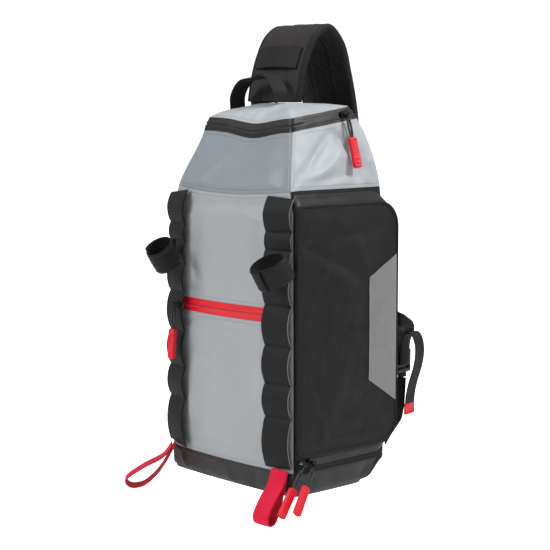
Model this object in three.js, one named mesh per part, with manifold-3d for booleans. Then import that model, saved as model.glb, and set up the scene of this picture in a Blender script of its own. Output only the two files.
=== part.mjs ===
// Fishing tackle sling bag, in millimetres, +Z up.
// The front face looks towards -Y and the wearer's back is on the +Y side. The shape is worked out in
// a frame that stands on the middle of the bag's flat base, and the finished group is then shifted so
// that the origin is the point under the crown of the shoulder strap, where the bag hangs.
// The main form is a set of sewn cloth panels, each a thin curved wall on one lofted outer surface.

import * as THREE from 'three';
import { mergeVertices } from 'three/addons/utils/BufferGeometryUtils.js';
import Module from 'manifold-3d';

const wasm = await Module();
wasm.setup();

// Driving dimensions
const BAG_WIDTH = 209;
const BAG_DEPTH = 164;
const BODY_HEIGHT = 325;
const HOOD_HEIGHT = 62;
const HOOD_TOP_FRONT_WIDTH = 150;
const HOOD_TOP_BACK_WIDTH = 152;
const HOOD_TOP_DEPTH = 102;
const HOOD_TOP_SETBACK = 24;
const LID_CROWN = 15.5;
const BASE_HEIGHT = 26;
const FRONT_CORNER = 6;
const BACK_CORNER = 16;
const CLOTH = 2;
const PADDED_BACK = 6;
const SEAM_GAP = 0.3;

const ZIP_BAND_HEIGHT = 14;
const FRONT_ZIP_HEIGHT = 15;
const FRONT_ZIP_LEVEL = 185;

const DAISY_WIDTH = 38;
const DAISY_EDGE = 1;
const WEBBING = 1.6;
const DAISY_BULGE = 6;
const DAISY_BOTTOM = 31;

const RING_RADIUS = 17.5;
const RING_SQUASH = 0.8;
const RING_HEIGHT = 26;
const RING_LEVEL = 243;
const RING_TILT = 33;

const RED_LOOP_WIDTH = 25;
const RED_LOOP_DROP = 56;
const RED_LOOP_REACH = 27;
const LEFT_LOOP_REACH = 54;

const POCKET_DEPTH = 14;
const POCKET_TOP = 309;
const POCKET_BOTTOM = 44;
const POCKET_FRONT_MARGIN = 2;
const POCKET_REAR_MARGIN = 14;
const POCKET_CORNER = 27;
const POCKET_DOME = 4;
const POCKET_FLARE = 12;
const POCKET_FRONT_LIFT = 5.5;
const PIPING = 4;

const STRAP_WIDTH = 85;
const STRAP_THICKNESS = 8;
const STRAP_RISE = 88;
const STRAP_SPAN = 85;
const STRAP_OFFSET = 25;
const STRAP_TAIL_LEVEL = 215;
const STRAP_LOOP_WIDTH = 26;

const HANDLE_WIDTH = 22;
const HANDLE_SPAN = 74;
const HANDLE_RISE = 33;

const SLING_WEBBING_WIDTH = 25;
const BUCKLE_WIDTH = 33;
const BUCKLE_LENGTH = 25;
const BUCKLE_BAR = 3.6;
const WING_REACH = 17;
const WING_TOP = 109;
const WING_BOTTOM = 36;
const TAIL_REACH = 19;
const TAIL_RISE = 34;
const LABEL_HEIGHT = 12;

const GRIP_WIDTH = 10.5;
const GRIP_LENGTH = 34;
const GRIP_THICKNESS = 5;
const CORD_DIAMETER = 2.2;
const CORD_LENGTH = 17;
const LINK_WIRE = 1.3;
const LINK_LENGTH = 12;
const SLIDER_LENGTH = 12;
const SLIDER_WIDTH = 8;
const SLIDER_PLATE = 2.2;
const BRIDGE_WIDTH = 2.4;
const BRIDGE_BAR = 1.4;

// Where the front and back of the bag lie in the base frame
const FRONT_Y = -BAG_DEPTH * 0.47;
const HALF_WIDTH = BAG_WIDTH / 2;
const RIM_LEVEL = BODY_HEIGHT + HOOD_HEIGHT;
const HOOD_FRONT_Y = FRONT_Y + HOOD_TOP_SETBACK;

const COLOURS = {
  grey: 0xa3a6a8,
  paleGrey: 0xc6c8ca,
  slate: 0x8d9194,
  black: 0x2b2b2b,
  coated: 0x303030,
  webbing: 0x262626,
  red: 0xe02040,
  patch: 0x5c5c5c,
  hard: 0x141414,
};

const bag = new THREE.Group();
const holder = new THREE.Group();
bag.add(holder);

function addPiece(name, geometry, colour, roughness = 0.8, metalness = 0) {
  const material = new THREE.MeshStandardMaterial({ color: colour, roughness, metalness });
  const mesh = new THREE.Mesh(geometry, material);
  mesh.name = name;
  holder.add(mesh);
  return mesh;
}

// Small maths helpers
const lerp = (a, b, t) => a + (b - a) * t;
const smooth = (t) => {
  const c = Math.min(1, Math.max(0, t));
  return c * c * (3 - 2 * c);
};
const hump = (t) => Math.exp(-t * t);
const vec = (x, y, z) => new THREE.Vector3(x, y, z);
const radians = THREE.MathUtils.degToRad;

// A value read from a table of rows by its "level" column, eased between rows.
function tableValue(rows, level, column) {
  if (level <= rows[0].level) return rows[0][column];
  for (let i = 1; i < rows.length; i += 1) {
    if (level <= rows[i].level) {
      const t = (level - rows[i - 1].level) / (rows[i].level - rows[i - 1].level);
      return lerp(rows[i - 1][column], rows[i][column], t);
    }
  }
  return rows[rows.length - 1][column];
}

// Outline of the bag at each level. Levels are shares of the body height. The front width is a share
// of half the bag's width, and the back's of the same less the side pocket's depth. Front and back are
// shares of the depth measured back from the front face.
const BODY_ROWS = [
  { level: 0.0, halfFront: 0.985, halfBack: 1.1, front: 0.015, back: 0.69, bulge: 0.03 },
  { level: 0.02, halfFront: 1.0, halfBack: 1.13, front: 0.004, back: 0.76, bulge: 0.035 },
  { level: 0.08, halfFront: 1.0, halfBack: 1.12, front: 0.0, back: 0.89, bulge: 0.04 },
  { level: 0.14, halfFront: 1.0, halfBack: 1.02, front: 0.0, back: 0.95, bulge: 0.043 },
  { level: 0.2, halfFront: 1.0, halfBack: 1.0, front: 0.0, back: 1.0, bulge: 0.045 },
  { level: 0.35, halfFront: 1.0, halfBack: 1.0, front: 0.0, back: 1.02, bulge: 0.05 },
  { level: 0.6, halfFront: 0.995, halfBack: 1.0, front: 0.0, back: 0.98, bulge: 0.05 },
  { level: 0.8, halfFront: 0.99, halfBack: 1.0, front: 0.002, back: 0.95, bulge: 0.045 },
  { level: 0.93, halfFront: 0.98, halfBack: 1.0, front: 0.008, back: 0.93, bulge: 0.038 },
  { level: 1.0, halfFront: 0.915, halfBack: 0.99, front: 0.018, back: 0.915, bulge: 0.03 },
];

// The four corners of the outline at a level in the base frame, front left first, then round to the
// front right, back right and back left, with the outward bulge of the front.
function cornersAt(level) {
  const share = Math.min(level, BODY_HEIGHT) / BODY_HEIGHT;
  const read = (column) => tableValue(BODY_ROWS, share, column);
  let halfFront = HALF_WIDTH * read('halfFront');
  let halfBack = (HALF_WIDTH - POCKET_DEPTH) * read('halfBack');
  let front = FRONT_Y + BAG_DEPTH * read('front');
  let back = FRONT_Y + BAG_DEPTH * read('back');
  let bulge = BAG_DEPTH * read('bulge');
  if (level > BODY_HEIGHT) {
    const t = (level - BODY_HEIGHT) / HOOD_HEIGHT;
    const ease = t < 1 ? lerp(t, smooth(t), 0.35) : t;
    const round = t ** 1.5;
    halfFront = lerp(halfFront, HOOD_TOP_FRONT_WIDTH / 2, ease);
    halfBack = lerp(halfBack, HOOD_TOP_BACK_WIDTH / 2, round);
    front = lerp(front, HOOD_FRONT_Y, ease);
    back = lerp(back, HOOD_FRONT_Y + HOOD_TOP_DEPTH, round);
    bulge = lerp(bulge, bulge * 0.3, Math.min(1, t));
  }
  return { halfFront, halfBack, front, back, bulge };
}

const CORNER_STEPS = 4;
const FRONT_STEPS = 10;
const BACK_STEPS = 6;
const SIDE_STEPS = 5;

// The outline at a level as a closed ring of points. Each corner is a quadratic curve between two
// cut points, and the front and back sides bow outwards as a parabola.
function outline(level) {
  const c = cornersAt(level);
  const corners = [
    vec(-c.halfFront, c.front, level),
    vec(c.halfFront, c.front, level),
    vec(c.halfBack, c.back, level),
    vec(-c.halfBack, c.back, level),
  ];
  const bows = [c.bulge, c.bulge * 0.25, c.bulge * 0.4, c.bulge * 0.25];
  const steps = [FRONT_STEPS, SIDE_STEPS, BACK_STEPS, SIDE_STEPS];
  const radii = [FRONT_CORNER, FRONT_CORNER, BACK_CORNER, BACK_CORNER];
  const ring = [];
  for (let k = 0; k < 4; k += 1) {
    const here = corners[k];
    const next = corners[(k + 1) % 4];
    const before = corners[(k + 3) % 4];
    const along = next.clone().sub(here).normalize();
    const back = before.clone().sub(here).normalize();
    const start = here.clone().addScaledVector(back, radii[k]);
    const end = here.clone().addScaledVector(along, radii[k]);
    for (let i = 0; i < CORNER_STEPS; i += 1) {
      const t = i / CORNER_STEPS;
      const p = start.clone().multiplyScalar((1 - t) ** 2);
      p.addScaledVector(here, 2 * t * (1 - t));
      p.addScaledVector(end, t * t);
      ring.push(p);
    }
    const outward = vec(along.y, -along.x, 0);
    const stop = next.clone().addScaledVector(along, -radii[(k + 1) % 4]);
    for (let i = 0; i < steps[k]; i += 1) {
      const t = i / steps[k];
      const p = end.clone().lerp(stop, t);
      p.addScaledVector(outward, bows[k] * 4 * t * (1 - t));
      ring.push(p);
    }
  }
  return ring;
}

// Columns of the ring where each panel starts and ends, at the middle of the corners
const HALF_CORNER = CORNER_STEPS / 2;
const COLUMN = {
  frontLeft: HALF_CORNER,
  frontRight: CORNER_STEPS + FRONT_STEPS + HALF_CORNER,
  backRight: 2 * CORNER_STEPS + FRONT_STEPS + SIDE_STEPS + HALF_CORNER,
  backLeft: 3 * CORNER_STEPS + FRONT_STEPS + SIDE_STEPS + BACK_STEPS + HALF_CORNER,
};
const RING_SIZE = 4 * CORNER_STEPS + FRONT_STEPS + BACK_STEPS + 2 * SIDE_STEPS;

// How the top edge of the hood departs from level: it rises towards the back, and sags where the
// coated cloth folds near the middle of the front.
const RIM_TILT = 0.145;
const RIM_SAG = 7;
function rimShift(point) {
  const tilt = (point.y - HOOD_FRONT_Y) * RIM_TILT;
  const nearFront = smooth((HOOD_FRONT_Y + 14 - point.y) / 14);
  const sag = RIM_SAG * hump((point.x - HALF_WIDTH * 0.12) / (BAG_WIDTH * 0.17)) * nearFront;
  return tilt - sag;
}

// How the seam between body and hood departs from level: it hangs in the middle of the front.
const JUNCTION_SAG = 6;
function junctionShift(point) {
  const front = smooth((FRONT_Y + 20 - point.y) / 20);
  return -JUNCTION_SAG * Math.cos((point.x / BAG_WIDTH) * Math.PI) * front;
}

// A point of the outer surface. Levels up to the body height are the body and those above are the
// hood, and both are bent to meet at the seam and to follow the rim.
function surfacePoint(column, level) {
  const i = Math.floor(column);
  const ring = outline(level);
  const p = ring[i % RING_SIZE].clone().lerp(ring[(i + 1) % RING_SIZE], column - i);
  if (level <= BODY_HEIGHT) {
    p.z += junctionShift(p) * smooth((level - BODY_HEIGHT * 0.7) / (BODY_HEIGHT * 0.3));
  } else {
    const t = (level - BODY_HEIGHT) / HOOD_HEIGHT;
    p.z += junctionShift(p) * Math.max(0, 1 - t) + rimShift(p) * smooth(t);
  }
  return p;
}

// The outward direction of the surface, the same for both panels that meet at a seam
function surfaceNormal(column, level) {
  const step = 0.25;
  const rise = 2;
  const along = surfacePoint(column + step, level).sub(surfacePoint(column - step, level));
  const up = surfacePoint(column, level + rise).sub(surfacePoint(column, level - rise));
  return along.cross(up).normalize();
}

// Solid builders. A grid of outer points and its inner copy make a closed curved wall.
function gridNormals(grid) {
  const rows = grid.length;
  const cols = grid[0].length;
  return grid.map((row, r) =>
    row.map((_, c) => {
      const along = grid[r][Math.min(cols - 1, c + 1)].clone().sub(grid[r][Math.max(0, c - 1)]);
      const up = grid[Math.min(rows - 1, r + 1)][c].clone().sub(grid[Math.max(0, r - 1)][c]);
      return along.cross(up).normalize();
    }),
  );
}

function wallFromGrid(grid, thickness) {
  const rows = grid.length;
  const cols = grid[0].length;
  const normals = grid.normals ?? gridNormals(grid);
  const positions = [];
  for (const row of grid) for (const p of row) positions.push(p.x, p.y, p.z);
  for (let r = 0; r < rows; r += 1) {
    for (let c = 0; c < cols; c += 1) {
      const p = grid[r][c].clone().addScaledVector(normals[r][c], -thickness);
      positions.push(p.x, p.y, p.z);
    }
  }
  const outer = (r, c) => r * cols + c;
  const inner = (r, c) => rows * cols + r * cols + c;
  const index = [];
  const quad = (a, b, c, d) => index.push(a, b, c, a, c, d);
  for (let r = 0; r + 1 < rows; r += 1) {
    for (let c = 0; c + 1 < cols; c += 1) {
      quad(outer(r, c), outer(r, c + 1), outer(r + 1, c + 1), outer(r + 1, c));
      quad(inner(r, c), inner(r + 1, c), inner(r + 1, c + 1), inner(r, c + 1));
    }
  }
  for (let c = 0; c + 1 < cols; c += 1) {
    quad(outer(0, c), inner(0, c), inner(0, c + 1), outer(0, c + 1));
    const top = rows - 1;
    quad(outer(top, c), outer(top, c + 1), inner(top, c + 1), inner(top, c));
  }
  for (let r = 0; r + 1 < rows; r += 1) {
    quad(outer(r, 0), outer(r + 1, 0), inner(r + 1, 0), inner(r, 0));
    const side = cols - 1;
    quad(outer(r, side), inner(r, side), inner(r + 1, side), outer(r + 1, side));
  }
  return geometryOf(positions, index);
}

function geometryOf(positions, index) {
  const geometry = new THREE.BufferGeometry();
  geometry.setAttribute('position', new THREE.Float32BufferAttribute(positions, 3));
  geometry.setIndex(index);
  geometry.computeVertexNormals();
  return geometry;
}

// A closed body through rings of equal size, each ring a loop of points, with both ends capped by a
// fan round its middle. A closed sweep joins its last ring to its first.
function bodyThroughRings(rings, closed = false) {
  const size = rings[0].length;
  const positions = [];
  const index = [];
  for (const ring of rings) for (const p of ring) positions.push(p.x, p.y, p.z);
  const count = rings.length;
  const spans = closed ? count : count - 1;
  for (let k = 0; k < spans; k += 1) {
    const next = (k + 1) % count;
    for (let i = 0; i < size; i += 1) {
      const j = (i + 1) % size;
      const a = k * size + i;
      const b = k * size + j;
      const c = next * size + j;
      const d = next * size + i;
      index.push(a, b, c, a, c, d);
    }
  }
  if (!closed) {
    for (const [ring, base, flip] of [[rings[0], 0, true], [rings[count - 1], (count - 1) * size, false]]) {
      const middle = vec(0, 0, 0);
      for (const p of ring) middle.addScaledVector(p, 1 / size);
      const centre = positions.length / 3;
      positions.push(middle.x, middle.y, middle.z);
      for (let i = 0; i < size; i += 1) {
        const j = (i + 1) % size;
        if (flip) index.push(centre, base + j, base + i);
        else index.push(centre, base + i, base + j);
      }
    }
  }
  return outward(geometryOf(positions, index));
}

function signedVolume(geometry) {
  const p = geometry.attributes.position;
  const at = (i) => vec(p.getX(i), p.getY(i), p.getZ(i));
  const index = geometry.index.array;
  let sum = 0;
  for (let i = 0; i < index.length; i += 3) {
    sum += at(index[i]).dot(at(index[i + 1]).cross(at(index[i + 2])));
  }
  return sum;
}

// Turns a closed body's faces outwards.
function outward(geometry) {
  if (signedVolume(geometry) > 0) return geometry;
  const index = Array.from(geometry.index.array);
  for (let i = 0; i < index.length; i += 3) [index[i + 1], index[i + 2]] = [index[i + 2], index[i + 1]];
  geometry.setIndex(index);
  geometry.computeVertexNormals();
  return geometry;
}

function toSolid(geometry) {
  const bare = geometry.clone();
  bare.deleteAttribute('normal');
  bare.deleteAttribute('uv');
  const merged = mergeVertices(bare, 1e-4);
  const mesh = new wasm.Mesh({
    numProp: 3,
    vertProperties: new Float32Array(merged.attributes.position.array),
    triVerts: new Uint32Array(merged.index.array),
  });
  return new wasm.Manifold(mesh);
}

function fromSolid(solid) {
  const mesh = solid.getMesh();
  return geometryOf(Array.from(mesh.vertProperties), Array.from(mesh.triVerts));
}

// A flat band swept along a path. Each station has a middle, the direction of its width and its
// outward face. The section is a slab with its edges eased, of 8 points.
function bandBody(stations, width, thickness, closed = false) {
  const half = width / 2;
  const ease = Math.min(thickness * 0.3, 1.5);
  const section = [
    [-half + ease, -thickness / 2],
    [half - ease, -thickness / 2],
    [half, -thickness / 2 + ease],
    [half, thickness / 2 - ease],
    [half - ease, thickness / 2],
    [-half + ease, thickness / 2],
    [-half, thickness / 2 - ease],
    [-half, -thickness / 2 + ease],
  ];
  const rings = stations.map((s) =>
    section.map(([across, out]) => {
      const scale = s.widthShare ?? 1;
      const p = s.middle.clone().addScaledVector(s.across, across * scale);
      return p.addScaledVector(s.out, out);
    }),
  );
  return bodyThroughRings(rings, closed);
}

// Stations along a list of points for a band whose width runs along "across", which may be one
// direction, or a pair that the band twists between, with the share of the path where it begins.
function stationsAlong(points, across, closed = false) {
  const count = points.length;
  const twist = ([first, last, from = 0, to = 1], t) => first.clone().lerp(last, smooth((t - from) / (to - from)));
  const widthAt = (t) => (Array.isArray(across) ? twist(across, t) : across);
  return points.map((p, i) => {
    const here = widthAt(i / (count - 1)).clone().normalize();
    const ahead = closed ? points[(i + 1) % count] : points[Math.min(count - 1, i + 1)];
    const behind = closed ? points[(i + count - 1) % count] : points[Math.max(0, i - 1)];
    const tangent = ahead.clone().sub(behind).normalize();
    const width = here.addScaledVector(tangent, -here.dot(tangent)).normalize();
    return { middle: p, across: width, out: width.clone().cross(tangent).normalize() };
  });
}

// Points spaced along a smooth curve through a few guide points.
function smoothPath(guides, steps, closed = false) {
  const curve = new THREE.CatmullRomCurve3(guides, closed, 'centripetal');
  const points = curve.getSpacedPoints(steps);
  return closed ? points.slice(0, -1) : points;
}

// A round tube along points, with its frame carried along without twisting.
function tubeBody(points, radius, sides, closed = false) {
  const count = points.length;
  const tangentAt = (i) => {
    const ahead = closed ? points[(i + 1) % count] : points[Math.min(count - 1, i + 1)];
    const behind = closed ? points[(i + count - 1) % count] : points[Math.max(0, i - 1)];
    return ahead.clone().sub(behind).normalize();
  };
  let side = new THREE.Vector3();
  const first = tangentAt(0);
  side.crossVectors(first, Math.abs(first.x) < 0.8 ? vec(1, 0, 0) : vec(0, 1, 0)).normalize();
  const rings = points.map((p, i) => {
    const tangent = tangentAt(i);
    side = side.clone().addScaledVector(tangent, -side.dot(tangent)).normalize();
    const other = tangent.clone().cross(side);
    return Array.from({ length: sides }, (_, k) => {
      const angle = (k / sides) * Math.PI * 2;
      const q = p.clone().addScaledVector(side, Math.cos(angle) * radius);
      return q.addScaledVector(other, Math.sin(angle) * radius);
    });
  });
  return bodyThroughRings(rings, closed);
}

// Panels on the lofted surface. Each covers a range of columns and levels, less half the seam gap,
// and takes its rows from one list of levels, so that neighbours meet along the same edge.
const COLUMN_TRIM = 0.08;
const levelList = (from, shares) => shares.map((share) => from * share);
const BODY_LEVELS = levelList(BODY_HEIGHT, [0.14, 0.2, 0.35, 0.46, 0.7, 0.81, 0.93]);
const HOOD_LEVELS = levelList(HOOD_HEIGHT, [0.3, 0.65]).map((level) => BODY_HEIGHT + level);
const BAND_LOW = RIM_LEVEL - 1;
const BAND_HIGH = RIM_LEVEL + ZIP_BAND_HEIGHT - 1;
const ZIP_TOP = FRONT_ZIP_LEVEL + FRONT_ZIP_HEIGHT;
const ALL_LEVELS = [...BODY_LEVELS, FRONT_ZIP_LEVEL, ZIP_TOP, BODY_HEIGHT, ...HOOD_LEVELS, BAND_LOW];
ALL_LEVELS.sort((a, b) => a - b);

function panelGrid(from, to, low, high, inset = COLUMN_TRIM) {
  const count = Math.round(to - from);
  const trim = (i) => (i === 0 ? inset : 0) - (i === count ? inset : 0);
  const columns = Array.from({ length: count + 1 }, (_, i) => from + i + trim(i));
  const between = ALL_LEVELS.filter((level) => level > low + 3 && level < high - 3);
  const levels = [low + SEAM_GAP / 2, ...between, high - SEAM_GAP / 2];
  const grid = levels.map((level) => columns.map((column) => surfacePoint(column, level)));
  grid.normals = levels.map((level) => columns.map((_, i) => surfaceNormal(from + i, level)));
  if (low === BASE_HEIGHT) grid.normals[0].forEach((normal) => normal.setZ(0).normalize());
  return grid;
}

const front = COLUMN.frontLeft;
const right = COLUMN.frontRight;
const rear = COLUMN.backRight;
const left = COLUMN.backLeft;

// Base: a coated cup with a flat floor. Its rear is cut on a slant, where the padded back's cloth
// wraps under and meets it.
function cupBody() {
  const levels = [0, 3, BASE_HEIGHT * 0.45, BASE_HEIGHT - SEAM_GAP / 2];
  const outerRings = levels.map((level) => outline(level));
  const shrink = (ring, level) => {
    const size = ring.length;
    return ring.map((p, i) => {
      const along = ring[(i + 1) % size].clone().sub(ring[(i + size - 1) % size]);
      const inward = vec(-along.y, along.x, 0).normalize();
      const q = p.clone().addScaledVector(inward, CLOTH);
      q.z = Math.max(level, CLOTH);
      return q;
    });
  };
  const innerRings = levels.slice().reverse().map((level) => shrink(outline(Math.max(level, CLOTH)), level));
  return bodyThroughRings([...outerRings, ...innerRings]);
}

const WRAP_LINE = FRONT_Y + BAG_DEPTH * 0.66;
const WRAP_SLANT = 0.65;
function halfSpace(offset, behind) {
  const far = BAG_WIDTH * 2;
  const reach = BASE_HEIGHT * 2;
  const shape = new THREE.Shape();
  const edgeAt = (z) => WRAP_LINE + offset + WRAP_SLANT * z;
  shape.moveTo(edgeAt(-reach), -reach);
  shape.lineTo(edgeAt(reach), reach);
  shape.lineTo(behind ? far : -far, reach);
  shape.lineTo(behind ? far : -far, -reach);
  const geometry = new THREE.ExtrudeGeometry(shape, { depth: 2 * far, bevelEnabled: false });
  const turn = new THREE.Matrix4().makeBasis(vec(0, 1, 0), vec(0, 0, 1), vec(1, 0, 0));
  geometry.applyMatrix4(turn);
  geometry.translate(-far, 0, 0);
  return mergedCopy(geometry);
}

function mergedCopy(geometry) {
  const bare = geometry.clone();
  bare.deleteAttribute('normal');
  bare.deleteAttribute('uv');
  const merged = mergeVertices(bare, 1e-4);
  return outward(geometryOf(Array.from(merged.attributes.position.array), Array.from(merged.index.array)));
}

function addBase() {
  const cup = toSolid(cupBody());
  const inFront = toSolid(halfSpace(-SEAM_GAP / 2, false));
  const behind = toSolid(halfSpace(SEAM_GAP / 2, true));
  addPiece('base_tub', fromSolid(cup.intersect(inFront)), COLOURS.coated, 0.55);
  addPiece('base_rear_wrap', fromSolid(cup.intersect(behind)), COLOURS.black, 0.85);
}

// Body panels between the base and the hood, and the padded back up to the lid's hinge
function addBodyPanels() {
  const panel = (from, to, low, high, thickness) => wallFromGrid(panelGrid(from, to, low, high), thickness);
  const wrap = RING_SIZE + front;
  const lower = toSolid(panel(front, right, BASE_HEIGHT, ZIP_TOP, CLOTH));
  const tapeStart = CORNER_STEPS + 1;
  const tapeEnd = CORNER_STEPS + FRONT_STEPS - 1;
  const slot = panelGrid(tapeStart, tapeEnd, FRONT_ZIP_LEVEL, ZIP_TOP + 2, 0);
  slot.forEach((row, r) => row.forEach((p, c) => p.addScaledVector(slot.normals[r][c], CLOTH)));
  addPiece('front_panel_lower', fromSolid(lower.subtract(toSolid(wallFromGrid(slot, CLOTH * 3)))), COLOURS.grey, 0.5);
  const tape = panelGrid(tapeStart, tapeEnd, FRONT_ZIP_LEVEL + SEAM_GAP, ZIP_TOP, COLUMN_TRIM / 2);
  addPiece('front_zip_tape', wallFromGrid(tape, CLOTH * 0.75), COLOURS.red, 0.45);
  addPiece('front_panel_upper', panel(front, right, ZIP_TOP, BODY_HEIGHT, CLOTH), COLOURS.grey, 0.5);
  addPiece('back_panel', panel(rear, left, BASE_HEIGHT, BAND_HIGH, PADDED_BACK), COLOURS.black, 0.9);
  addPiece('side_wall_right', panel(right, rear, BASE_HEIGHT, BODY_HEIGHT, CLOTH), COLOURS.black, 0.85);
  addPiece('side_wall_left', panel(left, wrap, BASE_HEIGHT, BODY_HEIGHT, CLOTH), COLOURS.black, 0.85);
}

// Hood: a sloping front panel and two side panels, up to the zip band
function addHood() {
  const panel = (from, to) => wallFromGrid(panelGrid(from, to, BODY_HEIGHT, BAND_LOW), CLOTH);
  addPiece('hood_front', panel(front, right), COLOURS.slate, 0.5);
  addPiece('hood_side_right', panel(right, rear), COLOURS.paleGrey, 0.5);
  addPiece('hood_side_left', panel(left, RING_SIZE + front), COLOURS.paleGrey, 0.5);
}

// Zip band: a strip that runs up one side, round the front and back along the other side
function addZipBand() {
  const grid = panelGrid(left, RING_SIZE + rear, BAND_LOW, BAND_HIGH);
  addPiece('lid_zip_band', wallFromGrid(grid, CLOTH * 0.75), COLOURS.coated, 0.4);
}

// Lid: a domed cloth cap. Its rim follows the top of the zip band, and it is highest along a crest
// just in front of the strap.
const LID_CENTRE = vec(0, HOOD_FRONT_Y + HOOD_TOP_DEPTH * 0.52, 0);
const LID_RINGS = [1, 0.9, 0.7, 0.4];
function lidPoint(column, share) {
  const rim = surfacePoint(column, BAND_HIGH + SEAM_GAP);
  const crest = RIM_LEVEL + ZIP_BAND_HEIGHT + LID_CROWN;
  const p = LID_CENTRE.clone().lerp(rim, share);
  p.z = lerp(crest, rim.z, share ** 2.6);
  return p;
}

function addLid() {
  const ringAt = (share, drop) =>
    Array.from({ length: RING_SIZE }, (_, i) => {
      const p = lidPoint(i, share);
      p.z -= drop;
      return p;
    });
  const outer = LID_RINGS.map((share) => ringAt(share, 0)).reverse();
  const inner = LID_RINGS.map((share) => ringAt(share * (share > 0.9 ? 0.97 : 0.99), share === 1 ? 0.2 : CLOTH));
  addPiece('lid', bodyThroughRings([...outer, ...inner]), COLOURS.paleGrey, 0.5);
}

// The front surface at a place across the bag, for what is sewn on it
function frontSurface(x, level) {
  const c = cornersAt(level);
  const straight = c.halfFront - FRONT_CORNER;
  const t = (x + straight) / (2 * straight);
  const inside = Math.max(0, Math.min(1, t));
  let y = c.front - c.bulge * 4 * inside * (1 - inside);
  const past = Math.abs(x) - straight;
  if (past > 0) y += (past * past) / (FRONT_CORNER * 4);
  return y;
}

// Daisy-chain webbing. It is sewn down at the levels in the table, as shares of the body height,
// and stands off in a bow between them.
const DAISY_STITCHES = [0.982, 0.868, 0.81, 0.735, 0.63, 0.495, 0.37, 0.26, 0.105];
// The webbing's middle where its back just clears the bowed front all across, for a given width direction
function daisySeat(centre, across, level) {
  let seat = Infinity;
  for (let k = -4; k <= 4; k += 1) {
    const u = (DAISY_WIDTH / 2) * (k / 4);
    seat = Math.min(seat, frontSurface(centre + u * across.x, level) - u * across.y);
  }
  return seat - WEBBING / 2 - SEAM_GAP - 0.1;
}

function daisyPoints(centre, across, top, bottom) {
  const stitches = DAISY_STITCHES.map((s) => s * BODY_HEIGHT);
  stitches[0] = top;
  stitches[stitches.length - 1] = bottom;
  const points = [];
  for (let k = 0; k + 1 < stitches.length; k += 1) {
    const span = stitches[k] - stitches[k + 1];
    const steps = 3;
    const bow = DAISY_BULGE * Math.min(1, span / 38);
    for (let i = 0; i < steps; i += 1) {
      const t = i / steps;
      const z = stitches[k] - span * t;
      points.push(vec(centre, daisySeat(centre, across, z) - bow * Math.sin(Math.PI * t) ** 0.8, z));
    }
  }
  points.push(vec(centre, daisySeat(centre, across, bottom), bottom));
  return points;
}

const DAISY_CENTRE = HALF_WIDTH - DAISY_EDGE - DAISY_WIDTH / 2;
const DAISY_TOP = BODY_HEIGHT - 7;
// The webbing turns with the bowed front, so its width runs along the surface there. The left one is
// pulled round the corner a little.
const DAISY_ROWS = [
  { name: 'right', sign: 1, turn: 7 },
  { name: 'left', sign: -1, turn: 14 },
];

function addDaisyChains() {
  for (const row of DAISY_ROWS) {
    const turn = radians(row.turn);
    const across = vec(Math.cos(turn), row.sign * Math.sin(turn), 0);
    const points = daisyPoints(row.sign * DAISY_CENTRE, across, DAISY_TOP, DAISY_BOTTOM);
    const stations = stationsAlong(points, across);
    addPiece(`daisy_webbing_${row.name}`, bandBody(stations, DAISY_WIDTH, WEBBING), COLOURS.webbing, 0.85);
  }
}

// Rod rings: a hook-and-loop strap closed on itself, which droops away from the daisy chain. The
// turn is the way it leans, measured from straight ahead.
const RING_ROWS = [
  { name: 'right', sign: 1, aside: 1.0, ahead: 1.0, turn: 38, lift: 0 },
  { name: 'left', sign: -1, aside: -0.75, ahead: 1.5, turn: 40, lift: 0.2 },
];

function addRodRings() {
  const face = frontSurface(DAISY_CENTRE, RING_LEVEL) - DAISY_BULGE - WEBBING - SEAM_GAP;
  for (const row of RING_ROWS) {
    const steps = 20;
    const wraps = radians(405);
    const points = Array.from({ length: steps + 1 }, (_, i) => {
      const angle = radians(200) + (wraps * i) / steps;
      const radius = RING_RADIUS + (i / steps) * (WEBBING + 1.8);
      return vec(Math.cos(angle) * radius, Math.sin(angle) * radius * RING_SQUASH, 0);
    });
    const geometry = bandBody(stationsAlong(points, vec(0, 0, 1)), RING_HEIGHT, WEBBING);
    const mesh = addPiece(`rod_ring_${row.name}`, geometry, COLOURS.webbing, 0.85);
    mesh.rotation.order = 'ZXY';
    mesh.rotation.set(radians(RING_TILT), 0, radians(row.turn * row.sign));
    const x = row.sign * (DAISY_CENTRE + row.aside * RING_RADIUS);
    mesh.position.set(x, face - row.ahead * RING_RADIUS, RING_LEVEL + row.lift * RING_HEIGHT);
  }
}

// Red accessory loops: webbing folded back on itself, sewn under the foot of each daisy chain
function loopGuides(reach, drop) {
  const shape = [
    { out: 0.02, down: 0.02 },
    { out: 0.2, down: 0.28 },
    { out: 0.66, down: 0.56 },
    { out: 1.0, down: 0.86 },
    { out: 0.9, down: 1.0 },
    { out: 0.64, down: 0.98 },
    { out: 0.36, down: 0.74 },
    { out: 0.16, down: 0.44 },
    { out: -0.05, down: 0.02 },
  ];
  return shape.map((s) => ({ out: s.out * reach, down: s.down * drop }));
}

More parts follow.
